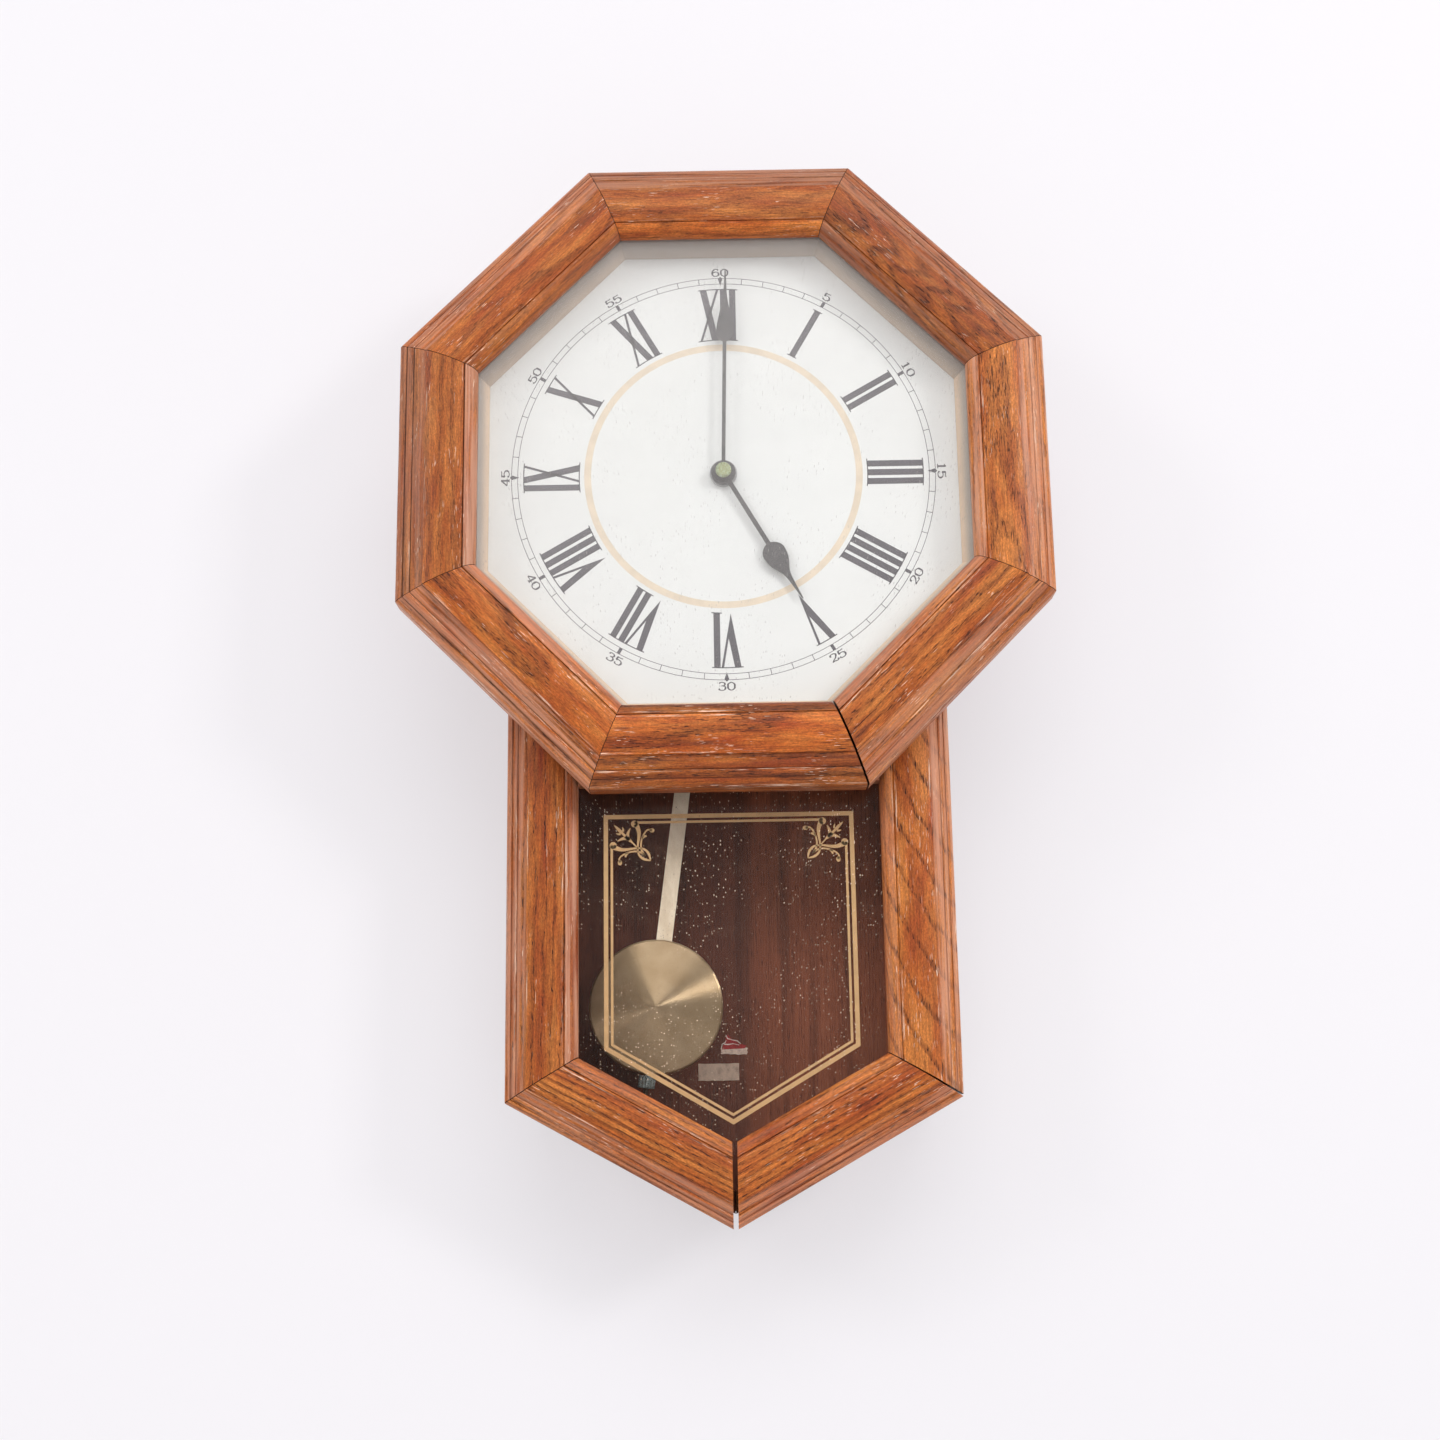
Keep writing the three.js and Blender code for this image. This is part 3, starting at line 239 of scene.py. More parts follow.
def painted_sheen(t, colour, v, look, seed):
    """Painted sheen, light and shade on the outer mould and the inner lip, each with its own
    brightness.
    """
    raised = t.ease(v, look["shoulder"] - 0.4, look["shoulder"] + 1.2)
    lip = t.ease(v, look["lip"] - 1.0, look["lip"], 1.0, 0.0)
    sheen_breakup = t.ease(t.grain((60, 1.6, 6), seed + 5, 3), 0.3, 0.65)
    # Each zone gets painted sheen, then is lightened or darkened as painted light and shade.
    for zone, sheen, brightness in ((raised, "sheen", "ogee"), (lip, "lip_sheen", "lip_light")):
        colour = t.mix(t.mul(t.mul(zone, sheen_breakup), look[sheen]), colour, WOOD_SHEEN)
        colour = t.shade(colour, t.add(t.mul(zone, look[brightness] - 1.0), 1.0))
    return colour


def worn(t, colour, v, look, seed):
    """Painted shade in the quirks, rubbed edges and pale nicks."""
    # Painted shade: the quirks darkened towards the pore colour.
    quirks = ridge_marks(t, v, (look["lip"], *look["bands"]), 0.5)
    colour = t.mix(t.mul(quirks, look["quirk_shade"]), colour, WOOD_PORE_AND_SHADE)
    edges = ridge_marks(t, v, look["edges"], 0.8)
    rubbed = t.ease(t.grain((15, 0.6, 0.6), seed + 41, 3, 0.7), 0.5, 0.62)
    zone = t.ease(t.grain((40, 20, 20), seed + 43, 2), 0.4, 0.62)
    colour = t.mix(t.mul(t.mul(edges, rubbed), t.mul(zone, look["rub"])), colour, WOOD_SCUFF)
    nick = t.grain((5.5, 0.4, 0.4), seed + 47, 1)
    nick_zone = t.ease(t.grain((22, 9, 9), seed + 53, 2), 0.5, 0.66)
    nicks = t.mul(t.ease(nick, 0.66, 0.72), nick_zone)
    return t.mix(t.mul(nicks, look["nicks"]), colour, WOOD_SCUFF)


def oak(name, along, across, offset, look, seed):
    """Stained oak. along and across are unit vectors, and offset brings across to the moulding's
    own scale, which runs out from the clock's centre."""
    t = Tree(name)
    u = t.along(along, seed * 37.0)
    v = t.along(across, offset)
    w = t.along((0.0, 1.0, 0.0))
    t.place = t.join(u, v, w)
    early = rings(t, u, v, w, look, seed)
    fibre = t.grain((11, 0.6, 0.6), seed + 23, 3, 0.65)
    pore = t.grain((4.5, 0.5, 0.5), seed + 29, 1)
    holes = t.mul(t.ease(pore, 0.56, 0.64), t.ease(early, 0.0, 0.6, 0.3, look["pores"]))
    colour = stained_grain(t, early, fibre, look, seed)
    colour = t.mix(holes, colour, WOOD_PORE_AND_SHADE)
    colour = painted_sheen(t, colour, v, look, seed)
    colour = worn(t, colour, v, look, seed)
    # Painted light and shade: the whole piece lightened or darkened by its light factor.
    colour = t.shade(colour, look["light"])
    ends = t.math("ABSOLUTE", t.facing(along))
    colour = t.vary(colour, ends, 1.0, END_GRAIN, 0.25, 0.6)
    height = t.add(t.mul(holes, -1.0), t.mul(fibre, 0.5))
    height = t.add(height, t.mul(early, -0.25))
    rough = t.add(t.mul(holes, 0.25), t.mul(fibre, 0.25))
    return t.coat(
        Base_Color=colour, Roughness=t.add(rough, 0.34), Normal=t.bump(height, 0.12, 0.9),
        Specular_IOR_Level=0.26, Coat_Weight=0.04, Coat_Roughness=0.25)


# Where a moulding's lip, raised outer mould, quirks and corners lie, out from the clock's centre.
BEZEL_LOOK = {"lip": 130.2, "shoulder": 149.9, "bands": (156.8, 160.8),
              "edges": (129.2, 131.2, 149.5, 157.4, 164.4)}
FRAME_LOOK = {"lip": 81.5, "shoulder": 100.0, "bands": (104.8, 107.7),
              "edges": (80.6, 82.4, 99.7, 105.4, 110.1)}
FLAT = {"lip": 0.0, "shoulder": 999.0, "bands": (), "edges": (), "sheen": 0.0}

# How one piece of oak looks. The rings: pith (the tree's centre, across and into the board), slant
# (their drift along the grain), wander and wobble (how far broad and fine noise bends them),
# spacing, and early (the porous share of a ring). tone moves the stain towards red. Strengths from
# 0 to 1: contrast of the early wood, dark figure, pores, painted sheen on the outer mould and on
# the lip, painted shade in the quirks, rub on the edges, nicks. Painted light and shade, as
# brightness factors: ogee (outer mould), lip_light (inner lip) and light (all).
PLAIN = {"pith": (140.0, -60.0), "slant": 0.02, "wander": 16.0, "wobble": 2.6, "spacing": 3.4,
         "early": 0.45, "contrast": 0.5, "figure": 0.55, "pores": 0.85, "tone": 0.0,
         "sheen": 0.45, "lip_sheen": 0.45, "quirk_shade": 0.3, "rub": 0.25,
         "nicks": 0.8, "ogee": 1.0, "lip_light": 1.0, "light": 1.0}


def look(shape, **changes):
    """The plain look with a moulding's shape and a piece's own changes."""
    return {**PLAIN, **shape, **changes}


def direction(angle):
    """Unit vector in the front plane, clockwise from straight up, in degrees."""
    a = math.radians(angle)
    return (math.sin(a), 0.0, math.cos(a))


SIDES = ("top", "top_right", "right", "bottom_right", "bottom", "bottom_left", "left", "top_left")
# light, ogee and lip_light in each side's look are painted light and shade.
SIDE_LOOKS = {
    "top": {"pith": (146, -34), "slant": 0.03, "wander": 22, "pores": 0.5, "contrast": 0.4,
            "figure": 0.4, "sheen": 0.6, "lip_sheen": 0.0, "quirk_shade": 0.15, "ogee": 0.76,
            "lip_light": 1.4},
    "top_right": {"pith": (118, -30), "slant": 0.16, "wander": 30, "figure": 0.8, "tone": 0.03,
                  "contrast": 0.6, "quirk_shade": 0.2, "light": 0.87},
    "right": {"pith": (138, -10), "slant": 0.05, "tone": -0.06, "figure": 0.6, "sheen": 0.6,
              "lip_sheen": 0.75, "contrast": 0.35, "rub": 0.6, "light": 1.16},
    "bottom_right": {"pith": (90, -40), "spacing": 3.0, "tone": -0.01, "rub": 0.9, "light": 1.14},
    "bottom": {"pith": (150, -26), "tone": 0.03, "figure": 0.9, "contrast": 0.7, "spacing": 4.2,
               "quirk_shade": 0.6, "sheen": 0.05, "lip_sheen": 0.0, "rub": 1.0, "nicks": 1.0,
               "lip_light": 0.5, "ogee": 0.8, "light": 1.38},
    "bottom_left": {"pith": (145, -14), "contrast": 0.8, "spacing": 4.0, "quirk_shade": 0.6, "sheen": 0.6,
                    "rub": 0.8, "light": 1.24},
    "left": {"pith": (160, -34), "spacing": 3.8, "pores": 0.55, "contrast": 0.4, "figure": 0.4,
             "sheen": 0.35, "lip_sheen": 0.9, "quirk_shade": 0.9, "rub": 0.5, "ogee": 0.9},
    "top_left": {"pith": (139, -12), "wander": 26, "tone": 0.02, "pores": 0.5, "figure": 0.7,
                 "lip_sheen": 0.15, "nicks": 1.0, "rub": 0.4, "light": 1.1},
}


RAIL_RUN = (110.5, 61.0)  # half width of the lower frame, and the fall from shoulder to point
RAIL_TOP = CENTRE.z / MM - 313.7
# light in the stile and rail looks is painted light and shade.
STILE_LOOKS = {
    "right": {"pith": (52, -20), "slant": 0.34, "spacing": 8.0, "early": 0.2, "tone": -0.06,
              "wander": 14, "wobble": 1.0, "figure": 0.1, "pores": 1.0, "rub": 1.0,
              "contrast": 0.6, "lip_sheen": 0.3, "sheen": 0.8, "light": 1.1},
    "left": {"pith": (60, -90), "spacing": 4.6, "early": 0.26, "tone": 0.02, "wobble": 1.2,
             "figure": 0.2, "pores": 1.0, "lip_sheen": 0.9, "sheen": 0.6, "rub": 0.7},
}
RAIL_LOOKS = {
    "right": {"pith": (20, -70), "spacing": 3.0, "tone": 0.03, "wander": 8, "wobble": 1.4,
              "contrast": 0.6, "lip_sheen": 0.1, "figure": 0.2, "light": 1.22},
    "left": {"pith": (30, -80), "spacing": 2.7, "wander": 7, "wobble": 1.4, "contrast": 0.7,
             "lip_sheen": 0.2, "sheen": 0.5, "figure": 0.2, "rub": 0.6, "light": 1.13},
}


def dress_octagon():
    """Oak on the eight bezel pieces and the case boards behind them, with the grain along each."""
    # The case boards are darkened as painted shade, behind the bezel.
    inner = look(FLAT, light=0.72, tone=0.06)
    for index, side in enumerate(SIDES):
        out, along = direction(45 * index), direction(45 * index + 90)
        offset = -(CENTRE.x * out[0] + CENTRE.z * out[2]) / MM
        outer = look(BEZEL_LOOK, **SIDE_LOOKS[side])
        paint("bezel_" + side, oak("oak_bezel_" + side, along, out, offset, outer, index + 1))
        if "case_" + side in NODES:
            paint("case_" + side, oak("oak_case_" + side, along, out, offset, inner, index + 21))


def dress_lower_frame():
    """Oak on the stiles, the point rails, the box boards behind them and the hidden top rail."""
    up, right = (0, 0, 1), (1, 0, 0)
    # The box boards are darkened as painted shade, inside the box.
    board = look(FLAT, light=0.55)
    for sign, side in ((1, "right"), (-1, "left")):
        out = (sign, 0, 0)
        stile = look(FRAME_LOOK, **STILE_LOOKS[side])
        paint(side + "_stile", oak("oak_stile_" + side, up, out, 0.0, stile, 31 + sign))
        run = tuple(Vector((-sign * RAIL_RUN[0], 0, -RAIL_RUN[1])).normalized())
        square = Vector((sign * RAIL_RUN[1], 0, -RAIL_RUN[0])).normalized()
        offset = RAIL_RUN[0] - Vector((sign * RAIL_RUN[0], 0, RAIL_TOP)).dot(square)
        rail = look(FRAME_LOOK, **RAIL_LOOKS[side])
        paint(side + "_point_rail",
              oak("oak_rail_" + side, run, tuple(square), offset, rail, 41 + sign))
        for piece, along in (("box_" + side, up), ("box_point_" + side, run)):
            paint(piece, oak("oak_" + piece, along, out, 0.0, board, 51 + sign))
    # The hidden top rail is darkened as painted shade.
    paint("lower_top_rail", oak("oak_top_rail", right, up, 0.0, look(FLAT, light=0.7), 57))


# ------ other materials
def veneer():
    """Dark walnut-stained board behind the pendulum, with upright grain and painted light to the
    right.
    """
    t = Tree("walnut_board")
    slow = t.grain((11, 30, 180), 3, 3)
    line = t.grain((0.8, 4, 40), 7, 3, 0.65)
    dash = t.grain((0.35, 2, 5), 9, 1)
    # Painted light: the colour goes from dark at the left to lighter and redder at the right.
    red = t.ease(t.along((1.0, 0.0, 0.0), -18.0), -26.0, 8.0)
    base = t.mix(t.mul(red, 0.75), srgb(106, 58, 40), srgb(160, 90, 58))
    base = t.mix(t.ease(slow, 0.42, 0.72, 0.0, 0.6), base, srgb(66, 38, 28))
    base = t.vary(base, line, 0.78, 1.2, 0.25, 0.75)
    base = t.mix(t.ease(dash, 0.6, 0.7, 0.0, 0.55), base, srgb(26, 14, 12))
    return t.coat(
        Base_Color=base, Roughness=t.add(t.mul(line, 0.3), 0.42),
        Normal=t.bump(t.add(line, t.mul(dash, -0.6)), 0.06, 0.6), Specular_IOR_Level=0.35)


def hardboard():
    """Brown pressed fibre board."""
    t = Tree("hardboard")
    fleck = t.grain(1.1, 0, 5, 0.7)
    cloud = t.grain(18, 5, 3)
    base = t.ramp(fleck, [(0.3, srgb(74, 50, 34)), (0.6, srgb(116, 82, 54)),
                          (0.8, srgb(140, 104, 72))])
    base = t.vary(base, cloud, 0.88, 1.08)
    return t.coat(
        Base_Color=base, Roughness=0.8, Normal=t.bump(fleck, 0.08, 0.7), Specular_IOR_Level=0.25)


def dial_paint():
    """Off-white enamel with faint mottling, dust and a few stains."""
    t = Tree("dial_paint")
    cloud = t.grain(38, 0, 3)
    grain = t.grain(0.5, 4, 2)
    spot = t.cells(21, 9)
    fleck = t.ease(spot["Distance"], 0.018, 0.03, 1.0, 0.0)
    base = t.ramp(cloud, [(0.3, srgb(232, 235, 232)), (0.7, srgb(235, 238, 235))])
    base = t.mix(t.mul(fleck, 0.35), base, srgb(150, 140, 126))
    return t.coat(
        Base_Color=base, Roughness=t.add(t.mul(grain, 0.15), 0.5),
        Normal=t.bump(grain, 0.008, 0.3), Specular_IOR_Level=0.3)


def spacer_card():
    """Cream moulded card between the glass and the dial, with painted shade near the glass and
    below.
    """
    t = Tree("spacer_card")
    fine = t.grain(0.9, 0, 4, 0.65)
    cloud = t.grain((22, 9, 22), 8, 3)
    low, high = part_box("dial_spacer")
    # Painted shadow: darker towards the glass, lighter towards the dial.
    depth = t.ease(t.along((0.0, 1.0, 0.0)), low.y / MM + 1.0, high.y / MM - 1.0)
    base = t.mix(depth, srgb(166, 157, 147), srgb(220, 194, 166))
    # Painted shade on the walls that face down.
    under = t.ease(t.facing((0.0, 0.0, -1.0)), 0.2, 0.9)
    base = t.mix(t.mul(under, 0.75), base, srgb(138, 128, 118))
    base = t.vary(base, cloud, 0.98, 1.08)
    base = t.vary(base, fine, 0.94, 1.04)
    return t.coat(
        Base_Color=base, Roughness=0.7, Normal=t.bump(fine, 0.05, 0.5), Specular_IOR_Level=0.25)


# How much of a pane's surface hides what is behind it: all over, in a bank of painted reflection
# that fades out over a length from a start at its upper left, in wipe marks and in each dust speck.
DIAL_HAZE = {"tint": (238, 235, 231), "even": 0.065, "reflection_bank": 0.04, "from": -50.0, "over": 150.0,
             "wipe": 0.0, "speck": 0.4}
LOWER_HAZE = {"tint": (255, 226, 196), "even": 0.002, "reflection_bank": 0.0, "from": 0.0, "over": 1.0,
              "wipe": 0.008, "speck": 0.9}
SPECK_PITCH = 1.15
HEAD_ON_MIRROR, EDGE_ON_MIRROR = 0.008, 0.9  # share of light that a pane mirrors


def pane(name, haze, blur, seed):
    """A flat pane that passes light, mirrors by angle, and holds haze, painted reflection, wipe
    marks and dust.
    """
    t = Tree(name)
    cloud = t.grain((46, 46, 30), seed, 4, 0.6)
    wipe = t.grain((46, 46, 16), seed + 2, 5, 0.65, 0.8)
    dots = t.cells((SPECK_PITCH, 90, SPECK_PITCH), seed + 4)
    size = t.add(t.mul(t.put("SeparateColor", {0: dots["Color"]}), 0.3), -0.09)
    near = t.math("LESS_THAN", dots["Distance"], size)
    group = t.ease(t.grain(34, seed + 6, 3), 0.36, 0.6)
    # Painted reflection: a pale bank that is strongest at the upper left and fades out.
    reflection_bank = t.ease(t.along((0.6, 0.0, -0.8), haze["from"]), 0.0, haze["over"], 1.0, 0.0)
    haze_here = t.add(t.mul(reflection_bank, haze["reflection_bank"]), haze["even"])
    film = t.mul(t.ease(cloud, 0.2, 0.8, 0.85, 1.15), haze_here)
    film = t.add(film, t.mul(t.ease(wipe, 0.5, 0.75), haze["wipe"]))
    film = t.math("MAXIMUM", film, t.mul(near, t.mul(group, haze["speck"])))
    gloss = t.put("BsdfGlossy", {"Roughness": blur})
    grazing = t.math("POWER", t.put("LayerWeight", {"Blend": 0.5}, "Facing"), 5.0)
    mirror = t.blend(t.add(t.mul(grazing, EDGE_ON_MIRROR), HEAD_ON_MIRROR),
                     t.put("BsdfTransparent", {}), gloss)
    # The film's pale colour is dust, and in the bank it is painted reflection.
    dust = t.principled(Base_Color=srgb(*haze["tint"]), Roughness=0.9, Specular_IOR_Level=0.1)
    return t.done(t.blend(film, mirror, dust))


def ink(name, colour, rough=0.55, worn=0.12, metal=0.0):
    """Screen-printed ink, with slightly uneven cover."""
    t = Tree(name)
    fine = t.grain(0.35, 0, 3, 0.7)
    cloud = t.grain(7, 3, 2)
    base = t.shade(colour, t.ease(fine, 0.25, 0.75, 1 - worn, 1 + worn))
    base = t.vary(base, cloud, 0.94, 1.06)
    return t.coat(
        Base_Color=base, Roughness=t.add(t.mul(fine, 0.2), rough - 0.1), Metallic=metal,
        Normal=t.bump(fine, 0.01, 0.4))


def hand_paint():
    """Satin black lacquer with dust on it."""
    t = Tree("hand_paint")
    dust = t.grain(0.45, 0, 3, 0.75)
    cloud = t.grain(9, 2, 2)
    base = t.mix(t.ease(dust, 0.56, 0.72, 0.0, 0.55), srgb(44, 42, 44), srgb(150, 146, 140))
    base = t.mix(t.ease(cloud, 0.4, 0.7, 0.0, 0.25), base, srgb(90, 86, 84))
    return t.coat(
        Base_Color=base, Roughness=t.add(t.mul(dust, 0.3), 0.3), Normal=t.bump(dust, 0.02, 0.5))


BOB_DISH = 90.0  # how steeply the bob's face falls away from its centre, in groove heights


def brushed_bob():
    """Champagne brass, brushed in circles, dulled by age."""
    t = Tree("champagne_brass")
    hub = middle("bob_face") / MM
    radius = t.put("VectorMath", {0: t.place, 1: hub}, "Value", operation="DISTANCE")
    groove = t.noise(t.join(t.mul(radius, 5.5), 0.0, 0.0), 3, 0.7)
    cloud = t.grain(13, 0, 4, 0.6)
    spot = t.grain(1.1, 5, 3, 0.6)
    base = t.ramp(cloud, [(0.3, srgb(164, 140, 107)), (0.7, srgb(181, 158, 126))])
    base = t.vary(base, groove, 0.93, 1.06, 0.25, 0.75)
    base = t.mix(t.ease(spot, 0.64, 0.74, 0.0, 0.45), base, srgb(120, 92, 60))
    tangent = t.node("Tangent", direction_type="RADIAL", axis="Y")
    dish = t.add(groove, t.mul(radius, -BOB_DISH))
    return t.coat(
        Base_Color=base, Metallic=1.0, Roughness=t.add(t.mul(groove, 0.1), 0.27),
        Anisotropic=0.96, Anisotropic_Rotation=0.25, Tangent=tangent.outputs[0],
        Normal=t.bump(dish, 0.006, 0.35))


GREEN_CRUST = ((120, 158, 118), (196, 212, 180))  # verdigris, thin and thick
DARK_CRUST = ((40, 52, 50), (206, 220, 216))


def brass(name, colour, dull, patina=0.0, rough=0.32, size=3.0, shine=1.0, crusts=GREEN_CRUST):
    """Brass sheet with tarnish, fine scratches and, where patina is set, verdigris."""
    t = Tree(name)
    cloud = t.grain(size * 2, 0, 4, 0.6)
    fine = t.grain((0.3, 0.3, 3.0), 5, 3, 0.7)
    crust = t.grain(size * 0.4, 9, 4, 0.7)
    base = t.mix(t.ease(cloud, 0.45, 0.7), colour, dull)
    green = t.mul(t.ease(crust, 0.5 - patina * 0.2, 0.62), patina)
    base = t.mix(green, base, t.ramp(crust, [(0.45, srgb(*crusts[0])), (0.66, srgb(*crusts[1]))]))
    metal = t.math("SUBTRACT", shine, green, True)
    return t.coat(
        Base_Color=base, Metallic=metal, Roughness=t.add(t.mul(cloud, 0.25), rough - 0.08),
        Normal=t.bump(t.add(t.mul(fine, 0.4), green), 0.03, 0.5))


def rod_brass():
    """Dulled brass strip whose near-white base is painted reflection, with a dark thread below the
    bob.
    """
    t = Tree("rod_brass")
    cloud = t.grain((6, 6, 16), 0, 4, 0.6)
    fine = t.grain((0.4, 0.4, 5.0), 5, 3, 0.7)
    spot = t.grain((1.4, 1.4, 1.8), 8, 3, 0.6)
    # Painted reflection: a near-white base stands in for the bright room mirrored in the metal.
    base = t.ramp(cloud, [(0.35, srgb(255, 240, 212)), (0.7, srgb(232, 212, 180))])
    base = t.mix(t.ease(spot, 0.62, 0.72, 0.0, 0.4), base, srgb(150, 128, 96))
    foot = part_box("bob_face")[0].z / MM
    thread = t.ease(t.along((0.0, 0.0, 1.0)), foot - 1.0, foot + 1.0, 1.0, 0.0)
    base = t.mix(thread, base, srgb(66, 50, 28))
    return t.coat(
        Base_Color=base, Metallic=0.2, Roughness=t.add(t.mul(fine, 0.25), 0.3),
        Normal=t.bump(fine, 0.02, 0.5))


def steel():
    """Zinc-plated steel with spots of rust."""
    t = Tree("zinc_steel")
    cloud = t.grain(7, 0, 3)
    fine = t.grain((0.25, 0.25, 2.5), 4, 3, 0.7)
    rust = t.grain(3, 6, 4, 0.7)
    base = t.ramp(cloud, [(0.3, srgb(150, 150, 152)), (0.7, srgb(186, 186, 184))])
    base = t.mix(t.ease(rust, 0.62, 0.76, 0.0, 0.7), base, srgb(112, 78, 56))
    return t.coat(
        Base_Color=base, Metallic=0.95, Roughness=t.add(t.mul(fine, 0.25), 0.28),
        Normal=t.bump(fine, 0.02, 0.5))


def plastic(name, colour, rough=0.5, dusty=0.25):
    """Moulded plastic with a fine spark texture and settled dust."""
    t = Tree(name)
    spark = t.grain(0.4, 0, 3, 0.65)
    dust = t.grain(6, 4, 5, 0.7)
    base = t.mix(t.ease(dust, 0.5, 0.78, 0.0, dusty), colour, srgb(150, 144, 136))
    base = t.vary(base, spark, 0.92, 1.08)
    return t.coat(
        Base_Color=base, Roughness=t.add(t.mul(dust, 0.2), rough - 0.1),
        Normal=t.bump(spark, 0.03, 0.6))


CELL_BAND = 36.0  # where a cell's coppery end starts, from the clock's middle


def cell_coat():
    """Two-colour battery wrap."""
    t = Tree("cell_coat")
    along = t.along((1.0, 0.0, 0.0))
    cloud = t.grain(8, 0, 3)
    band = t.ease(t.math("ABSOLUTE", along), CELL_BAND, CELL_BAND + 0.6)
    base = t.mix(band, srgb(38, 40, 44), srgb(176, 122, 60))
    base = t.vary(base, cloud, 0.92, 1.06)
    return t.coat(
        Base_Color=base, Metallic=0.4, Roughness=t.add(t.mul(cloud, 0.2), 0.25))


def circuit():
    """Green circuit board with lighter tracks."""
    t = Tree("circuit_board")
    track = t.grain(2.2, 0, 1)
    lines = t.ease(t.math("ABSOLUTE", t.add(track, -0.5)), 0.02, 0.03, 1.0, 0.0)
    base = t.mix(lines, srgb(30, 74, 46), srgb(92, 128, 70))
    return t.coat(Base_Color=base, Roughness=0.35, Normal=t.bump(lines, 0.03, 0.6))


def paper(name, colour, stain):
    """Aged label paper."""
    t = Tree(name)
    fine = t.grain(0.5, 0, 4, 0.7)
    cloud = t.grain(4, 6, 4, 0.65)
    base = t.mix(t.ease(cloud, 0.4, 0.72, 0.0, 0.6), colour, stain)
    base = t.vary(base, fine, 0.88, 1.06)
    return t.coat(Base_Color=base, Roughness=0.8, Normal=t.bump(fine, 0.03, 0.6))


# ------ dressing the CAD nodes
def paint(node, material):
    """The material of a whole CAD node."""
    mesh = NODES[node].data
    mesh.materials.clear()
    mesh.materials.append(material)


def smooth(node, angle=32.0):
    """Smooth shading over curved runs, sharp over corners."""
    mesh = NODES[node].data
    mesh.polygons.foreach_set("use_smooth", [True] * len(mesh.polygons))
    mesh.set_sharp_from_angle(angle=math.radians(angle))


def soften(node, width):
    """Rounds the sharp corners of a CAD node with a bevel."""
    bevel = NODES[node].modifiers.new("soft_edges", "BEVEL")
    bevel.width = width * MM
    bevel.segments = 2
    bevel.limit_method = "ANGLE"
    bevel.angle_limit = math.radians(SHARP_CORNER)
    bevel.use_clamp_overlap = True
    bevel.harden_normals = False


def dress_rest():
    """Everything that isn't oak."""
    gilt = brass("brass", srgb(196, 160, 96), srgb(140, 108, 62))
    green = brass("corroded_brass", srgb(160, 150, 92), srgb(112, 106, 60), 0.8, 0.45, 2.0)
    crusted = brass("crusted_brass", srgb(60, 52, 36), srgb(20, 24, 22), 0.85, 0.6, 0.9,
                    crusts=DARK_CRUST)
    copper = brass("copper_wire", srgb(186, 106, 62), srgb(140, 76, 44), 0.0, 0.35)
    looks = (
        (veneer(), ("back_board",)),
        (hardboard(), ("dial_backing",)),
        (dial_paint(), ("dial_plate",)),
        (spacer_card(), ("dial_spacer",)),
        (pane("dial_glass", DIAL_HAZE, 0.16, 2.0), ("dial_glass",)),
        (pane("lower_glass", LOWER_HAZE, 0.05, 5.0), ("lower_glass",)),
        (hand_paint(), ("hour_hand", "minute_hand")),
        (green, ("hand_nut",)),
        (crusted, ("rating_nut",)),
        (brushed_bob(), ("bob_face",)),
        (rod_brass(), ("pendulum_rod", "pendulum_arm")),
        (gilt, ("centre_bush", "bob_back")),
        (steel(), ("bush_nut", "hanger_plate", "hanger_screw_left", "hanger_screw_right",
                   "pendulum_bracket", "minute_arbor")),
        (plastic("black_plastic", srgb(34, 33, 34)),
         ("movement_case", "movement_cover", "battery_door", "speaker")),
        (plastic("grey_plastic", srgb(92, 91, 90)), ("set_knob", "volume_dial", "chime_selector")),
        (plastic("nylon", srgb(214, 208, 194), 0.45, 0.15),
         ("hour_wheel", "minute_wheel", "set_pinion")),
        (cell_coat(), ("battery_left", "battery_right")),
        (circuit(), ("circuit_board",)),
        (copper, ("drive_coil",)),
    )
    for material, nodes in looks:
        for node in nodes:
            paint(node, material)


SHARP_CORNER = 40.0  # degrees
OAK_ROUND, HARD_ROUND = 0.22, 0.3
OAK_NODES = [n for n in NODES
             if n.startswith(("bezel_", "case_", "box_")) or n.endswith(("_stile", "_rail"))]
HARD_NODES = ("movement_case", "movement_cover", "battery_door", "set_knob", "volume_dial",
              "chime_selector", "hand_nut", "back_board", "hanger_plate")


def finish_edges():
    """Smooth shading everywhere, and small rounds on corners that a hand would feel."""
    for node in NODES:
        smooth(node)
    for node in OAK_NODES:
        soften(node, OAK_ROUND)
    for node in HARD_NODES:
        soften(node, HARD_ROUND)


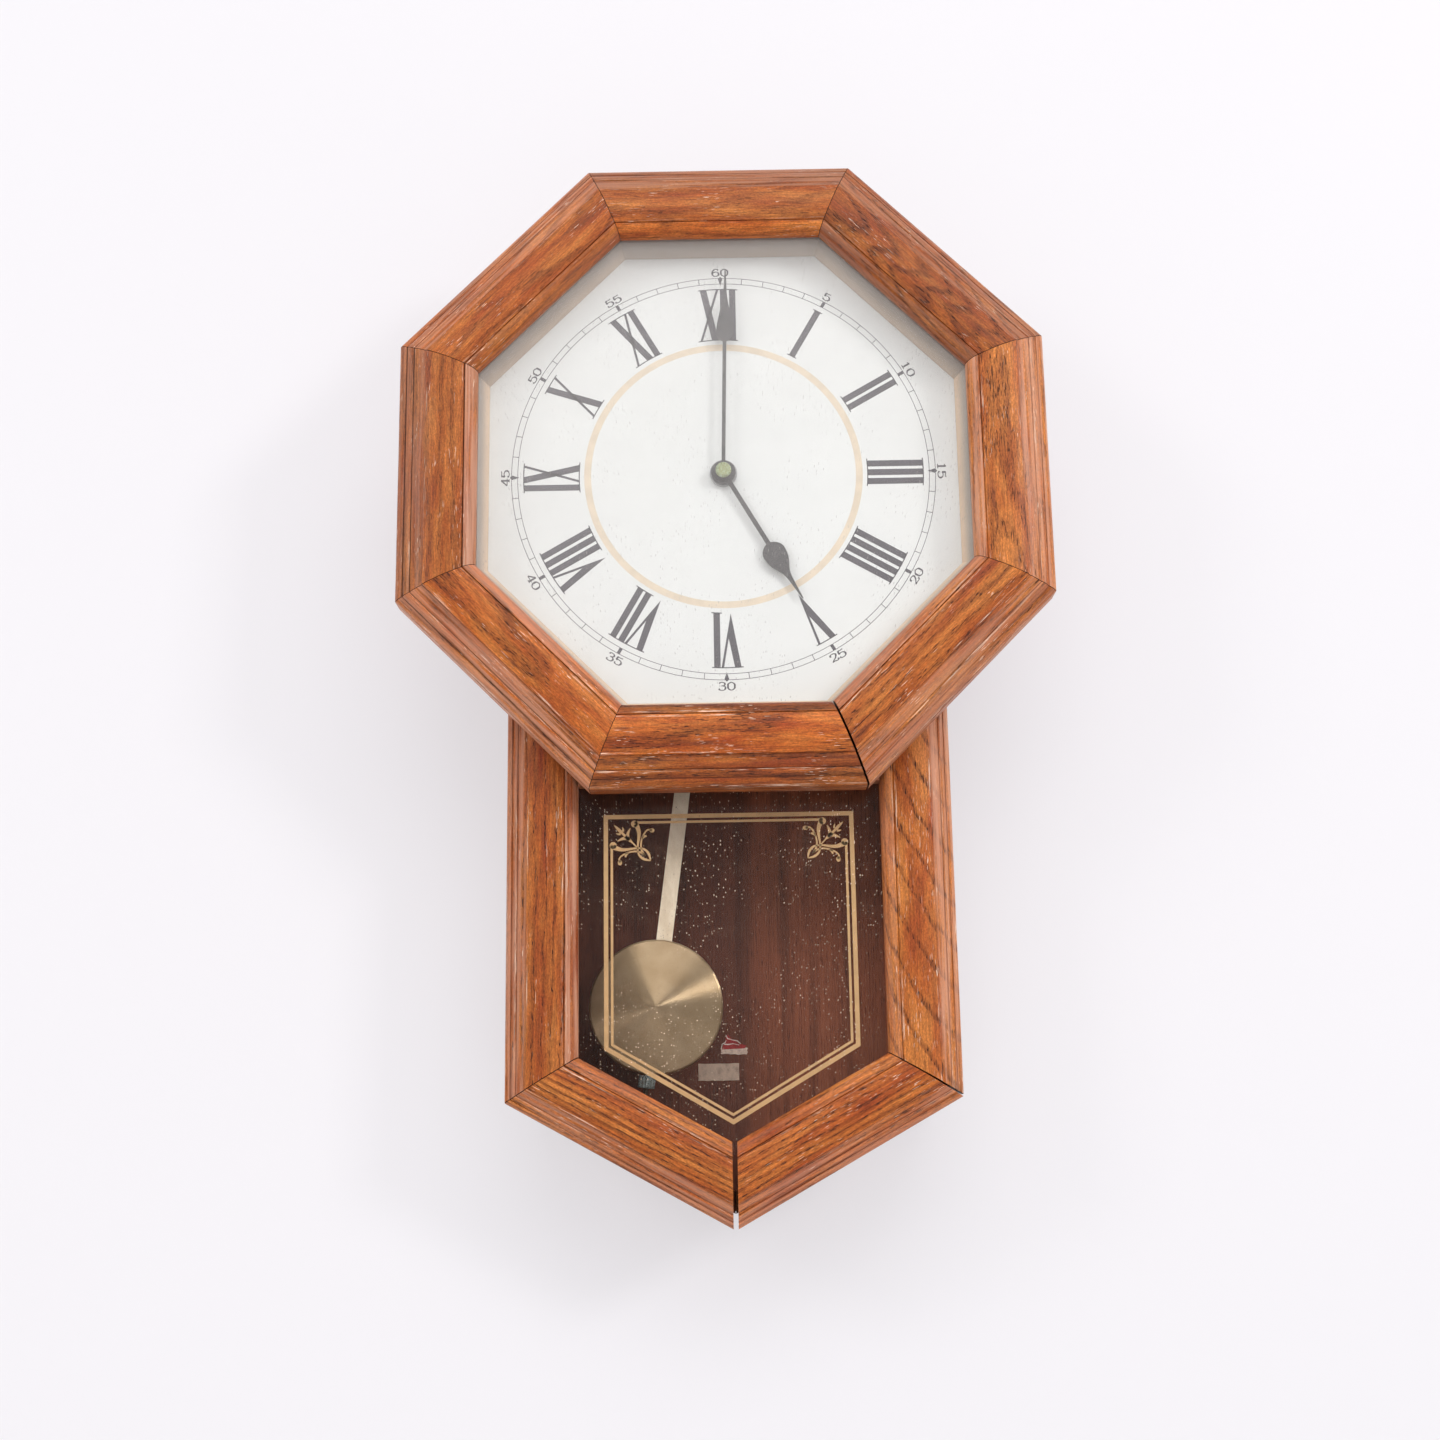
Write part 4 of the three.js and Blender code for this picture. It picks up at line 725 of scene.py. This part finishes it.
# ------ flat printed pieces
class Print:
    """Thin flat pieces lying on a surface that faces -Y, drawn in millimetres about a centre."""

    def __init__(self, name, y, centre, body="case", slot="dial_ink", thickness=INK):
        self.name, self.y, self.centre = name, y, centre
        self.body, self.slot, self.thickness = body, slot, thickness
        self.points, self.faces = [], []

    def prism(self, outline):
        """A closed thin solid over a convex outline of (x, z) points, anticlockwise as seen."""
        area = sum(a[0] * b[1] - b[0] * a[1] for a, b in zip(outline, outline[1:] + outline[:1]))
        if area < 0:
            outline = outline[::-1]
        first, n = len(self.points), len(outline)
        for y in (self.y - self.thickness, self.y):
            for x, z in outline:
                self.points.append((self.centre.x + x * MM, y, self.centre.z + z * MM))
        self.faces.append(tuple(range(first, first + n)))
        self.faces.append(tuple(range(first + 2 * n - 1, first + n - 1, -1)))
        for i in range(n):
            j = (i + 1) % n
            self.faces.append((first + j, first + i, first + n + i, first + n + j))

    def ribbon(self, path, widths, closed=False):
        """A closed thin solid along a path, with a width at each of its points."""
        count = len(path)
        left, right = [], []
        for i, (x, z) in enumerate(path):
            before = path[i - 1] if i or closed else path[i]
            after = path[(i + 1) % count] if i < count - 1 or closed else path[i]
            dx, dz = after[0] - before[0], after[1] - before[1]
            size = math.hypot(dx, dz) or 1.0
            half = widths[i] / 2
            left.append((x - dz / size * half, z + dx / size * half))
            right.append((x + dz / size * half, z - dx / size * half))
        first = len(self.points)
        for ring, y in ((left, 0.0), (right, 0.0), (left, 1.0), (right, 1.0)):
            for x, z in ring:
                depth = self.y - self.thickness * (1.0 - y)
                self.points.append((self.centre.x + x * MM, depth, self.centre.z + z * MM))
        last = count if closed else count - 1
        for i in range(last):
            j = (i + 1) % count
            l, r = first + i, first + count + i
            l2, r2 = first + j, first + count + j
            back = 2 * count
            self.faces.append((l, r, r2, l2))
            self.faces.append((l2 + back, r2 + back, r + back, l + back))
            self.faces.append((l, l2, l2 + back, l + back))
            self.faces.append((r2, r, r + back, r2 + back))
        if not closed:
            back = 2 * count
            l, r = first, first + count
            self.faces.append((l, l + back, r + back, r))
            l, r = first + count - 1, first + 2 * count - 1
            self.faces.append((l, r, r + back, l + back))

    def disc(self, x, z, radius, squash=1.0, turn=0.0, steps=20):
        """A round or oval spot, turned by degrees."""
        c, s = math.cos(math.radians(turn)), math.sin(math.radians(turn))
        ring = []
        for i in range(steps):
            a = 2 * math.pi * i / steps
            p, q = radius * math.cos(a), radius * squash * math.sin(a)
            ring.append((x + p * c - q * s, z + p * s + q * c))
        self.prism(ring)

    def make(self, material):
        """Adds what was drawn to the scene, riding on its body."""
        mesh = bpy.data.meshes.new(self.name)
        mesh.from_pydata(self.points, [], self.faces)
        mesh.validate()
        mesh.update()
        mesh.materials.append(material)
        piece = bpy.data.objects.new(self.name, mesh)
        bpy.context.scene.collection.objects.link(piece)
        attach(piece, self.body)
        return piece


def spline(points, steps=8):
    """A smooth path through the points, with their widths, as (x, z, width) rows."""
    rows = []
    for i in range(len(points) - 1):
        p0 = points[max(i - 1, 0)]
        p1, p2 = points[i], points[i + 1]
        p3 = points[min(i + 2, len(points) - 1)]
        for k in range(steps + (i == len(points) - 2)):
            s = k / steps
            row = []
            for a, b, c, d in zip(p0, p1, p2, p3):
                row.append(0.5 * (2 * b + (c - a) * s + (2 * a - 5 * b + 4 * c - d) * s * s
                                  + (3 * b - a - 3 * c + d) * s ** 3))
            rows.append(tuple(row))
    return rows


# ------ dial
NUMERAL_OUT, NUMERAL_IN = 102.2, 73.8  # radii of the hour numerals' serif lines
STROKE, HAIR, SERIF = 3.25, 1.25, 0.55
OVERHANG = 1.05  # serif beyond its stroke
ADVANCE = {"I": 4.75, "V": 10.45, "X": 10.55}  # from one letter's start to the next
WIDTH = {"I": STROKE, "V": 10.0, "X": 9.75}
X_RUN, X_HAIR = 6.0, 8.5  # where an X's heavy stroke lands, and where its hairline starts
V_APEX, V_CROTCH, V_HAIR = 5.0, 13.2, 8.75
IX_TUCK = 0.45
# The numerals from twelve, each with its sideways shift.
HOURS = (("XII", -1.5), ("I", -0.5), ("II", -0.2), ("III", 0.3), ("IIII", 1.0), ("V", 0.6),
         ("VI", -0.6), ("VII", -0.8), ("VIII", -0.9), ("IX", -0.4), ("X", -0.4), ("XI", -0.9))
TRACK_OUT, TRACK_IN, TRACK_LINE = 108.45, 105.3, 0.3
TICK, BLOCK = 0.17, 0.85  # half widths of a minute's line and of a fifth minute's block
RING_RADIUS, RING_WIDTH = 69.5, 3.5
FIGURE_RADIUS, FIGURE_HEIGHT = 111.7, 4.35
FIGURE_PITCH = 1.05  # from one figure to the next, in figure heights
PEN_THICK, PEN_THIN = 0.95, 0.46


def turned(points, angle):
    """Points (u, r) of a drawing whose top is outward, turned clockwise to the angle."""
    a = math.radians(angle)
    c, s = math.cos(a), math.sin(a)
    return [(u * c + r * s, -u * s + r * c) for u, r in points]


def reach(radius, u):
    """Height of the circle over u, where a stroke meets its serif line."""
    return math.sqrt(radius ** 2 - u ** 2)


def bar(top, foot):
    """Outline of a stroke between the two serif lines, from (left, right) at top and at foot."""
    return [(foot[0], reach(NUMERAL_IN, foot[0])), (foot[1], reach(NUMERAL_IN, foot[1])),
            (top[1], reach(NUMERAL_OUT, top[1])), (top[0], reach(NUMERAL_OUT, top[0]))]


def letter(kind, x):
    """Outlines of one numeral's strokes, starting at x."""
    if kind == "I":
        return [bar((x, x + STROKE), (x, x + STROKE))]
    if kind == "X":
        foot, hair = x + X_RUN, x + X_HAIR
        return [bar((x, x + STROKE + 0.1), (foot, foot + STROKE + 0.3)),
                bar((hair, hair + HAIR), (x, x + HAIR))]
    apex = (x + V_APEX, NUMERAL_IN + 0.2)
    crotch = (x + V_APEX + HAIR - 0.05, NUMERAL_IN + V_CROTCH)
    left, right = (x, x + STROKE), (x + V_HAIR, x + V_HAIR + HAIR)
    return [[*[(u, reach(NUMERAL_OUT, u)) for u in left], crotch, apex],
            [*[(u, reach(NUMERAL_OUT, u)) for u in right], apex, crotch]]


def arc_line(radius, u0, u1, steps=8):
    """Points on the circle from one sideways position to another."""
    return [(radius * math.sin(a), radius * math.cos(a))
            for a in (u0 / radius + (u1 - u0) / radius * i / steps for i in range(steps + 1))]


def numeral(sheet, text, shift, angle):
    """A Roman numeral with its foot towards the centre, moved sideways by shift."""
    tuck = IX_TUCK if text == "IX" else 0.0
    ink_width = sum(ADVANCE[c] for c in text[:-1]) + WIDTH[text[-1]] - tuck
    start = x = shift - ink_width / 2
    feet = []
    for i, kind in enumerate(text):
        for outline in letter(kind, x):
            sheet.prism(turned(outline, angle))
        if kind != "V":
            feet.append((x, x + WIDTH[kind]))
        x += ADVANCE[kind] - (tuck if i == 0 else 0.0)
    lines = [arc_line(NUMERAL_OUT, start - OVERHANG, start + ink_width + OVERHANG)]
    if feet:
        lines.append(arc_line(NUMERAL_IN, feet[0][0] - OVERHANG, feet[-1][1] + OVERHANG))
    for line in lines:
        sheet.ribbon(turned(line, angle), [SERIF] * len(line))


def circle(radius, steps=180):
    """Points round a circle, clockwise from the top."""
    return [(radius * math.sin(2 * math.pi * i / steps), radius * math.cos(2 * math.pi * i / steps))
            for i in range(steps)]


def quarter_drop():
    """Outline of the teardrop that marks each quarter."""
    half = [(0.9, TRACK_IN + 1.9), (1.2, TRACK_OUT - 0.5), (0.5, TRACK_OUT + 0.5)]
    return [(0.0, TRACK_IN - 1.0), *half, (0.0, TRACK_OUT + 0.9),
            *[(-u, r) for u, r in reversed(half)]]


def minute_track(sheet):
    """Two circles with a line at each minute, a block at each fifth and a drop at each quarter."""
    for radius in (TRACK_OUT, TRACK_IN):
        path = circle(radius)
        sheet.ribbon(path, [TRACK_LINE] * len(path), closed=True)
    low, high = TRACK_IN - 0.1, TRACK_OUT + 0.15
    line = [(-TICK, TRACK_IN), (TICK, TRACK_IN), (TICK, TRACK_OUT), (-TICK, TRACK_OUT)]
    block = [(-BLOCK, low), (BLOCK, low), (BLOCK, high), (-BLOCK, high)]
    for minute in range(60):
        mark = line if minute % 5 else block if minute % 15 else quarter_drop()
        sheet.prism(turned(mark, 6 * minute))


# Strokes of each figure as (x, z) points, in hundredths of a box as wide as it is high.
FIGURES = {
    "0": [[(50, 97), (16, 78), (11, 50), (16, 22), (50, 3), (84, 22), (89, 50), (84, 78), (50,
          97)]],
    "1": [[(50, 98), (50, 50), (50, 3)], [(22, 4), (50, 3), (78, 4)], [(24, 80), (40, 86), (50,
          98)]],
    "2": [[(16, 70), (22, 90), (50, 97), (80, 86), (84, 68), (60, 40), (30, 22), (10, 5)], [(10,
          6), (40, 10), (70, 4), (88, 10), (92, 26)]],
    "3": [[(16, 80), (30, 95), (52, 97), (78, 86), (78, 66), (56, 55), (38, 54)], [(50, 55), (80,
          46), (87, 28), (76, 9), (48, 3), (22, 8), (12, 24)]],
    "4": [[(70, 98), (70, 50), (70, 3)], [(70, 97), (38, 60), (6, 27)], [(6, 27), (50, 27), (95,
          27)], [(50, 3), (70, 3), (90, 3)]],
    "5": [[(20, 94), (50, 90), (82, 95)], [(20, 95), (18, 75), (17, 52)], [(17, 52), (40, 63), (70,
          58), (88, 36), (78, 12), (48, 3), (20, 8), (11, 24)]],
    "6": [[(82, 82), (70, 94), (50, 97), (22, 80), (11, 45), (20, 14), (50, 3), (80, 12), (88, 32),
          (78, 52), (50, 60), (20, 48)]],
}


def pen_widths(path):
    """Heavy where the pen runs upright, light where it runs level."""
    widths = []
    for i in range(len(path)):
        a, b = path[max(i - 1, 0)], path[min(i + 1, len(path) - 1)]
        rise = abs(b[1] - a[1]) / (math.hypot(b[0] - a[0], b[1] - a[1]) or 1.0)
        widths.append(PEN_THIN + (PEN_THICK - PEN_THIN) * rise ** 2)
    return widths


def figure(sheet, text, angle, inward):
    """Minute figures outside the track. inward ones have their tops towards the centre."""
    pitch = FIGURE_HEIGHT * FIGURE_PITCH
    turn = -1 if inward else 1
    for i, kind in enumerate(text):
        left = (i - len(text) / 2) * pitch
        for stroke in FIGURES[kind]:
            drawn = [(left + x * FIGURE_HEIGHT, (z - 0.5) * FIGURE_HEIGHT)
                     for x, z in spline([(x / 100, z / 100) for x, z in stroke], 5)]
            placed = [(x * turn, FIGURE_RADIUS + z * turn) for x, z in drawn]
            sheet.ribbon(turned(placed, angle), pen_widths(drawn))


def print_dial():
    """The numerals, the minute track and its figures, and the ring inside the numerals."""
    dark = ink("dial_ink", srgb(66, 62, 70))
    peach = ink("ring_ink", srgb(228, 212, 186), 0.5, 0.03)
    numerals = Print("hour_numerals", DIAL_Y, CENTRE)
    for hour, (text, shift) in enumerate(HOURS):
        numeral(numerals, text, shift, 30 * hour)
    numerals.make(dark)
    track = Print("minute_track", DIAL_Y, CENTRE)
    minute_track(track)
    track.make(dark)
    figures = Print("minute_figures", DIAL_Y, CENTRE)
    for five in range(1, 13):
        figure(figures, str(5 * five), 30 * five, 3 < five < 9)
    figures.make(dark)
    ring = Print("chapter_ring", DIAL_Y, CENTRE)
    path = circle(RING_RADIUS)
    ring.ribbon(path, [RING_WIDTH] * len(path), closed=True)
    ring.make(peach)


# ------ gilt border on the lower glass
# Corners of the border, from the dial's centre, clockwise from the upper left.
BORDER = ((-62.8, -172.9), (62.0, -172.9), (62.0, -288.8), (-0.4, -325.3), (-62.8, -288.8))
OUTER_LINE, INNER_GAP, INNER_LINE = 2.2, 3.4, 1.25
BALL_AT = 15.4  # from the border's corner to the ball that ends each inner line


def inset(polygon, distance):
    """The polygon moved in by a distance on every side. It runs clockwise."""
    made = []
    for i, p in enumerate(polygon):
        a, b = polygon[i - 1], polygon[(i + 1) % len(polygon)]
        d1 = Vector((p[0] - a[0], p[1] - a[1])).normalized()
        d2 = Vector((b[0] - p[0], b[1] - p[1])).normalized()
        n1, n2 = Vector((d1.y, -d1.x)), Vector((d2.y, -d2.x))
        bisector = (n1 + n2).normalized()
        made.append((p[0] + bisector.x * distance / bisector.dot(n1),
                     p[1] + bisector.y * distance / bisector.dot(n1)))
    return made


def band(sheet, outer, inner):
    """A line all round, between two outlines."""
    for i in range(len(outer)):
        j = (i + 1) % len(outer)
        sheet.prism([outer[i], outer[j], inner[j], inner[i]])


# One half of the corner ornament, as (across, down, width) from the border's outer corner.
STEM = ((16.2, 4.9, 2.6), (17.5, 8.2, 1.9), (17.6, 11.0, 1.5), (17.1, 15.0, 0.95),
        (17.0, 18.0, 0.8), (17.7, 20.5, 1.0), (20.0, 22.5, 1.2), (23.4, 23.3, 0.5))
TENDRIL = ((24.0, 8.2, 1.3), (22.1, 7.8, 0.8), (20.5, 9.3, 0.75), (19.2, 12.0, 0.8),
           (18.6, 15.0, 0.85), (18.8, 17.5, 0.9), (19.7, 19.5, 0.9), (20.9, 20.9, 0.6))
HOOK = ((19.2, 12.6, 0.5), (20.0, 11.2, 1.3), (21.5, 10.9, 0.7))
LOBE = ((12.4, 13.2, 0.9), (11.9, 11.2, 1.7), (12.3, 9.0, 1.3), (13.3, 6.9, 0.4))
LEAF = ((16.9, 16.9, 0.7), (14.2, 14.0, 0.8), (12.2, 12.2, 2.0), (10.0, 10.0, 1.2),
        (8.2, 8.2, 1.6), (6.6, 6.6, 1.2), (5.2, 5.2, 0.2))
BARB = ((8.4, 9.6, 1.1), (7.6, 9.8, 1.0), (6.2, 9.4, 0.25))
BALL_DEEP, BALL_RADIUS = 4.7, 1.75
BUD_AT, BUD_RADIUS = (24.1, 8.1), 1.35


def ornament(sheet, corner, side):
    """Scrolls that join the inner lines at an upper corner. side is 1 at the left and -1 at the
    right."""
    def at(a, b):
        return (corner[0] + side * a, corner[1] - b)

    def scroll(rows):
        rows = spline(rows, 6)
        sheet.ribbon([at(a, b) for a, b, w in rows], [w for a, b, w in rows])

    for swap in (False, True):
        for stroke in (STEM, TENDRIL, HOOK, LOBE, BARB):
            scroll([(b, a, w) if swap else (a, b, w) for a, b, w in stroke])
        ball, bud = (BALL_AT, BALL_DEEP), BUD_AT
        if swap:
            ball, bud = ball[::-1], bud[::-1]
        sheet.disc(*at(*ball), BALL_RADIUS)
        sheet.disc(*at(*bud), BUD_RADIUS, 0.8, 90.0 if swap else 0.0)
    scroll(LEAF)


def print_glass():
    """The gilt border, whose inner line stops at the corner ornaments, behind the lower glass."""
    gilt = ink("gold_print", srgb(200, 160, 110), 0.45, 0.06, 0.15)
    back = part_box("lower_glass")[1].y
    sheet = Print("gilt_border", back + 2 * INK, CENTRE, slot="gold_print")
    outer = list(BORDER)
    band(sheet, outer, inset(outer, OUTER_LINE))
    line = inset(outer, INNER_GAP)
    core = inset(outer, INNER_GAP + INNER_LINE)
    left, right, top = outer[0][0], outer[1][0], outer[0][1]
    sheet.prism([(left + BALL_AT, line[0][1]), (right - BALL_AT, line[1][1]),
                 (right - BALL_AT, core[1][1]), (left + BALL_AT, core[0][1])])
    sheet.prism([(line[1][0], top - BALL_AT), line[2], core[2], (core[1][0], top - BALL_AT)])
    sheet.prism([line[4], (line[0][0], top - BALL_AT), (core[0][0], top - BALL_AT), core[4]])
    for i in (2, 3):
        sheet.prism([line[i], line[i + 1], core[i + 1], core[i]])
    sheet.make(gilt)
    scrolls = Print("gilt_scrolls", back + 2 * INK, CENTRE, slot="gold_print")
    ornament(scrolls, outer[0], 1)
    ornament(scrolls, outer[1], -1)
    scrolls.make(gilt)


# Places and sizes on the back board, in millimetres from the dial's centre.
LABEL_AT, LABEL_SIZE = (-7.6, -297.8), (21.0, 8.6)
STICKER_AT, STRIP_SIZE, STRIP_DROP = (0.6, -284.0), (13.5, 3.0), 3.4
RED_PATCHES = (
    [(-6.4, -2.4), (5.4, -2.0), (6.2, -0.5), (3.2, 0.3), (-5.4, 0.2)],
    [(-5.0, 0.1), (2.4, 0.2), (1.4, 1.6), (0.3, 2.1), (-4.6, 2.3)],
    [(-4.4, 2.2), (-0.6, 2.2), (-1.8, 3.6), (-3.0, 5.2), (-4.2, 4.4)],
)
# Torn white edges over the red, each a path with its widths.
TEARS = (
    ([(-4.2, 5.0), (-3.4, 3.2), (-0.8, 2.4), (1.6, 1.9), (3.4, 0.4)], [0.3, 0.5, 0.3, 0.5, 0.3]),
    ([(-6.0, 0.6), (-3.4, 0.1), (-0.4, 0.5), (2.6, -0.2)], [0.25, 0.55, 0.3, 0.2]),
    ([(-4.0, 2.4), (-4.6, 1.2), (-6.2, 0.3), (-6.6, -1.8)], [0.2, 0.4, 0.3, 0.4]),
)


def ragged(size, seed, rough):
    """A torn rectangle's outline, anticlockwise."""
    rng = random.Random(seed)
    x, z = size[0] / 2, size[1] / 2
    corners = [(-x, -z), (x, -z), (x, z), (-x, z)]
    made = []
    for a, b in zip(corners, corners[1:] + corners[:1]):
        for i in range(8):
            s = i / 8
            made.append((a[0] + (b[0] - a[0]) * s + rng.uniform(-rough, rough),
                         a[1] + (b[1] - a[1]) * s + rng.uniform(-rough, rough)))
    return made


def scrap(name, at, thickness):
    """An empty paper piece on the back board, to draw on."""
    centre = Vector((CENTRE.x + at[0] * MM, 0, CENTRE.z + at[1] * MM))
    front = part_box("back_board")[0].y
    return Print(name, front, centre, slot="paper", thickness=thickness * MM)


def stick_labels():
    """The blank paper label and the torn remains of a sticker inside, on the back board."""
    label = scrap("paper_label", LABEL_AT, 0.12)
    label.prism(ragged(LABEL_SIZE, 3, 0.12))
    label.make(paper("label_paper", srgb(214, 190, 168), srgb(150, 126, 108)))
    torn = scrap("sticker_paper", STICKER_AT, 0.1)
    torn.prism([(x, z - STRIP_DROP) for x, z in ragged(STRIP_SIZE, 5, 0.35)])
    torn.make(paper("torn_paper", srgb(240, 216, 196), srgb(150, 116, 100)))
    red = scrap("sticker_red", STICKER_AT, 0.14)
    for patch in RED_PATCHES:
        red.prism(patch)
    red.make(paper("sticker_red", srgb(176, 58, 56), srgb(96, 44, 42)))
    edge = scrap("sticker_tears", STICKER_AT, 0.18)
    for path, widths in TEARS:
        edge.ribbon(path, widths)
    edge.make(paper("torn_edge", srgb(250, 232, 220), srgb(190, 150, 140)))


# ------ stage, light and camera
CAMERA_AT = (-0.0010, -1.0045, -0.4597)
CAMERA_PITCH, CAMERA_ROLL, CAMERA_YAW = 12.876, -0.924, 0.172  # degrees
LENS, SENSOR = 47.85, 36.0
STAGE_WIDE, FLOOR_AT, WALL_TOP = 6.0, -1.4, 6.0
WALL_BEHIND = 0.0006
WALL_GLOW = 0.51
CLOCK_MIDDLE = (0.0, -0.05, -0.22)
WHITE, WARM = (1.0, 0.985, 0.985), (1.0, 0.99, 0.985)
# Each lamp's name, place, width, height, watts and colour.
LAMPS = (
    ("window", (0.3, -2.2, 1.7), 2.4, 1.4, 26, WHITE),
    ("side", (2.3, -2.0, 0.8), 0.6, 0.6, 32, WHITE),
    ("left", (-2.2, -1.8, 1.0), 0.8, 0.8, 18, WHITE),
    ("low", (0.3, -1.6, -2.2), 2.0, 1.0, 17, WARM),
    ("rear", (-1.2, 2.2, 0.8), 1.6, 1.6, 24, (1.0, 1.0, 1.0)),
)
# The room's light, from below to above, as a position and a colour.
ROOM = ((0.05, (0.56, 0.55, 0.56, 1)), (0.75, (0.9, 0.89, 0.92, 1)))


def matt(t, dark, light):
    """Slowly mottled matt colour between two greys."""
    fine = t.grain(900, 0, 2)
    return t.ramp(fine, [(0.3, dark), (0.7, light)])


def wall_white():
    """Pale wall with a soft glow, clear when seen from behind."""
    t = Tree("stage_white")
    solid = t.principled(
        Base_Color=matt(t, (0.375, 0.368, 0.38, 1), (0.39, 0.383, 0.395, 1)), Roughness=0.9,
        Specular_IOR_Level=0.0, Emission_Color=(1.0, 0.985, 1.01, 1.0),
        Emission_Strength=WALL_GLOW)
    behind = t.put("NewGeometry", {}, "Backfacing")
    return t.done(t.blend(behind, solid, t.put("BsdfTransparent", {})))


def floor_grey():
    """Pale matt floor."""
    t = Tree("stage_floor")
    base = matt(t, (0.5, 0.49, 0.5, 1), (0.53, 0.52, 0.53, 1))
    return t.coat(Base_Color=base, Roughness=0.9)


def stage_sheet(name, corners, material):
    """One flat sheet of the stage."""
    mesh = bpy.data.meshes.new(name)
    mesh.from_pydata(corners, [], [(0, 1, 2, 3)])
    mesh.materials.append(material)
    piece = bpy.data.objects.new(name, mesh)
    bpy.context.scene.collection.objects.link(piece)
    return piece


def set_stage():
    """A pale wall behind the clock and a pale floor well below it."""
    w, low, high, back = STAGE_WIDE, FLOOR_AT, WALL_TOP, WALL_BEHIND
    wall = stage_sheet("stage_wall", [(-w, back, low), (w, back, low), (w, back, high),
                                      (-w, back, high)], wall_white())
    wall.visible_shadow = False
    stage_sheet("stage_floor", [(-w, -w, low), (w, -w, low), (w, w, low), (-w, w, low)],
                floor_grey())


def lamp(name, at, width, height, power, colour):
    """A rectangular lamp that faces the clock's middle."""
    data = bpy.data.lights.new(name, "AREA")
    data.shape = "RECTANGLE"
    data.size, data.size_y = width, height
    data.energy = power
    data.color = colour
    piece = bpy.data.objects.new(name, data)
    piece.location = at
    aim = Vector(CLOCK_MIDDLE) - Vector(at)
    piece.rotation_euler = aim.to_track_quat("-Z", "Y").to_euler()
    bpy.context.scene.collection.objects.link(piece)


def light_scene():
    """The lamps, and a soft room that is lighter above."""
    for row in LAMPS:
        lamp(*row)
    world = bpy.data.worlds.new("soft_room")
    world.use_nodes = True
    nt = world.node_tree
    back = nt.nodes["Background"]
    coords = nt.nodes.new("ShaderNodeTexCoord")
    split = nt.nodes.new("ShaderNodeSeparateXYZ")
    ramp = nt.nodes.new("ShaderNodeValToRGB")
    nt.links.new(coords.outputs["Generated"], split.inputs[0])
    nt.links.new(split.outputs["Z"], ramp.inputs[0])
    nt.links.new(ramp.outputs["Color"], back.inputs["Color"])
    for item, (position, colour) in zip(ramp.color_ramp.elements, ROOM):
        item.position = position
        item.color = colour
    back.inputs["Strength"].default_value = 1.0
    bpy.context.scene.world = world


def place_camera():
    """The camera at the photograph's angle: below the clock's middle, looking up at it."""
    data = bpy.data.cameras.new("camera")
    data.sensor_width = SENSOR
    data.lens = LENS
    piece = bpy.data.objects.new("camera", data)
    piece.location = CAMERA_AT
    pitch = Euler((math.radians(90 + CAMERA_PITCH), 0, 0)).to_matrix()
    yaw = Euler((0, 0, math.radians(CAMERA_YAW))).to_matrix()
    roll = Euler((0, 0, math.radians(CAMERA_ROLL))).to_matrix()
    piece.rotation_euler = (yaw @ pitch @ roll).to_euler()
    bpy.context.scene.collection.objects.link(piece)
    bpy.context.scene.camera = piece
    bpy.context.scene.view_settings.view_transform = "Standard"


place_camera()
set_stage()
light_scene()
dress_octagon()
dress_lower_frame()
dress_rest()
finish_edges()
print_dial()
print_glass()
stick_labels()
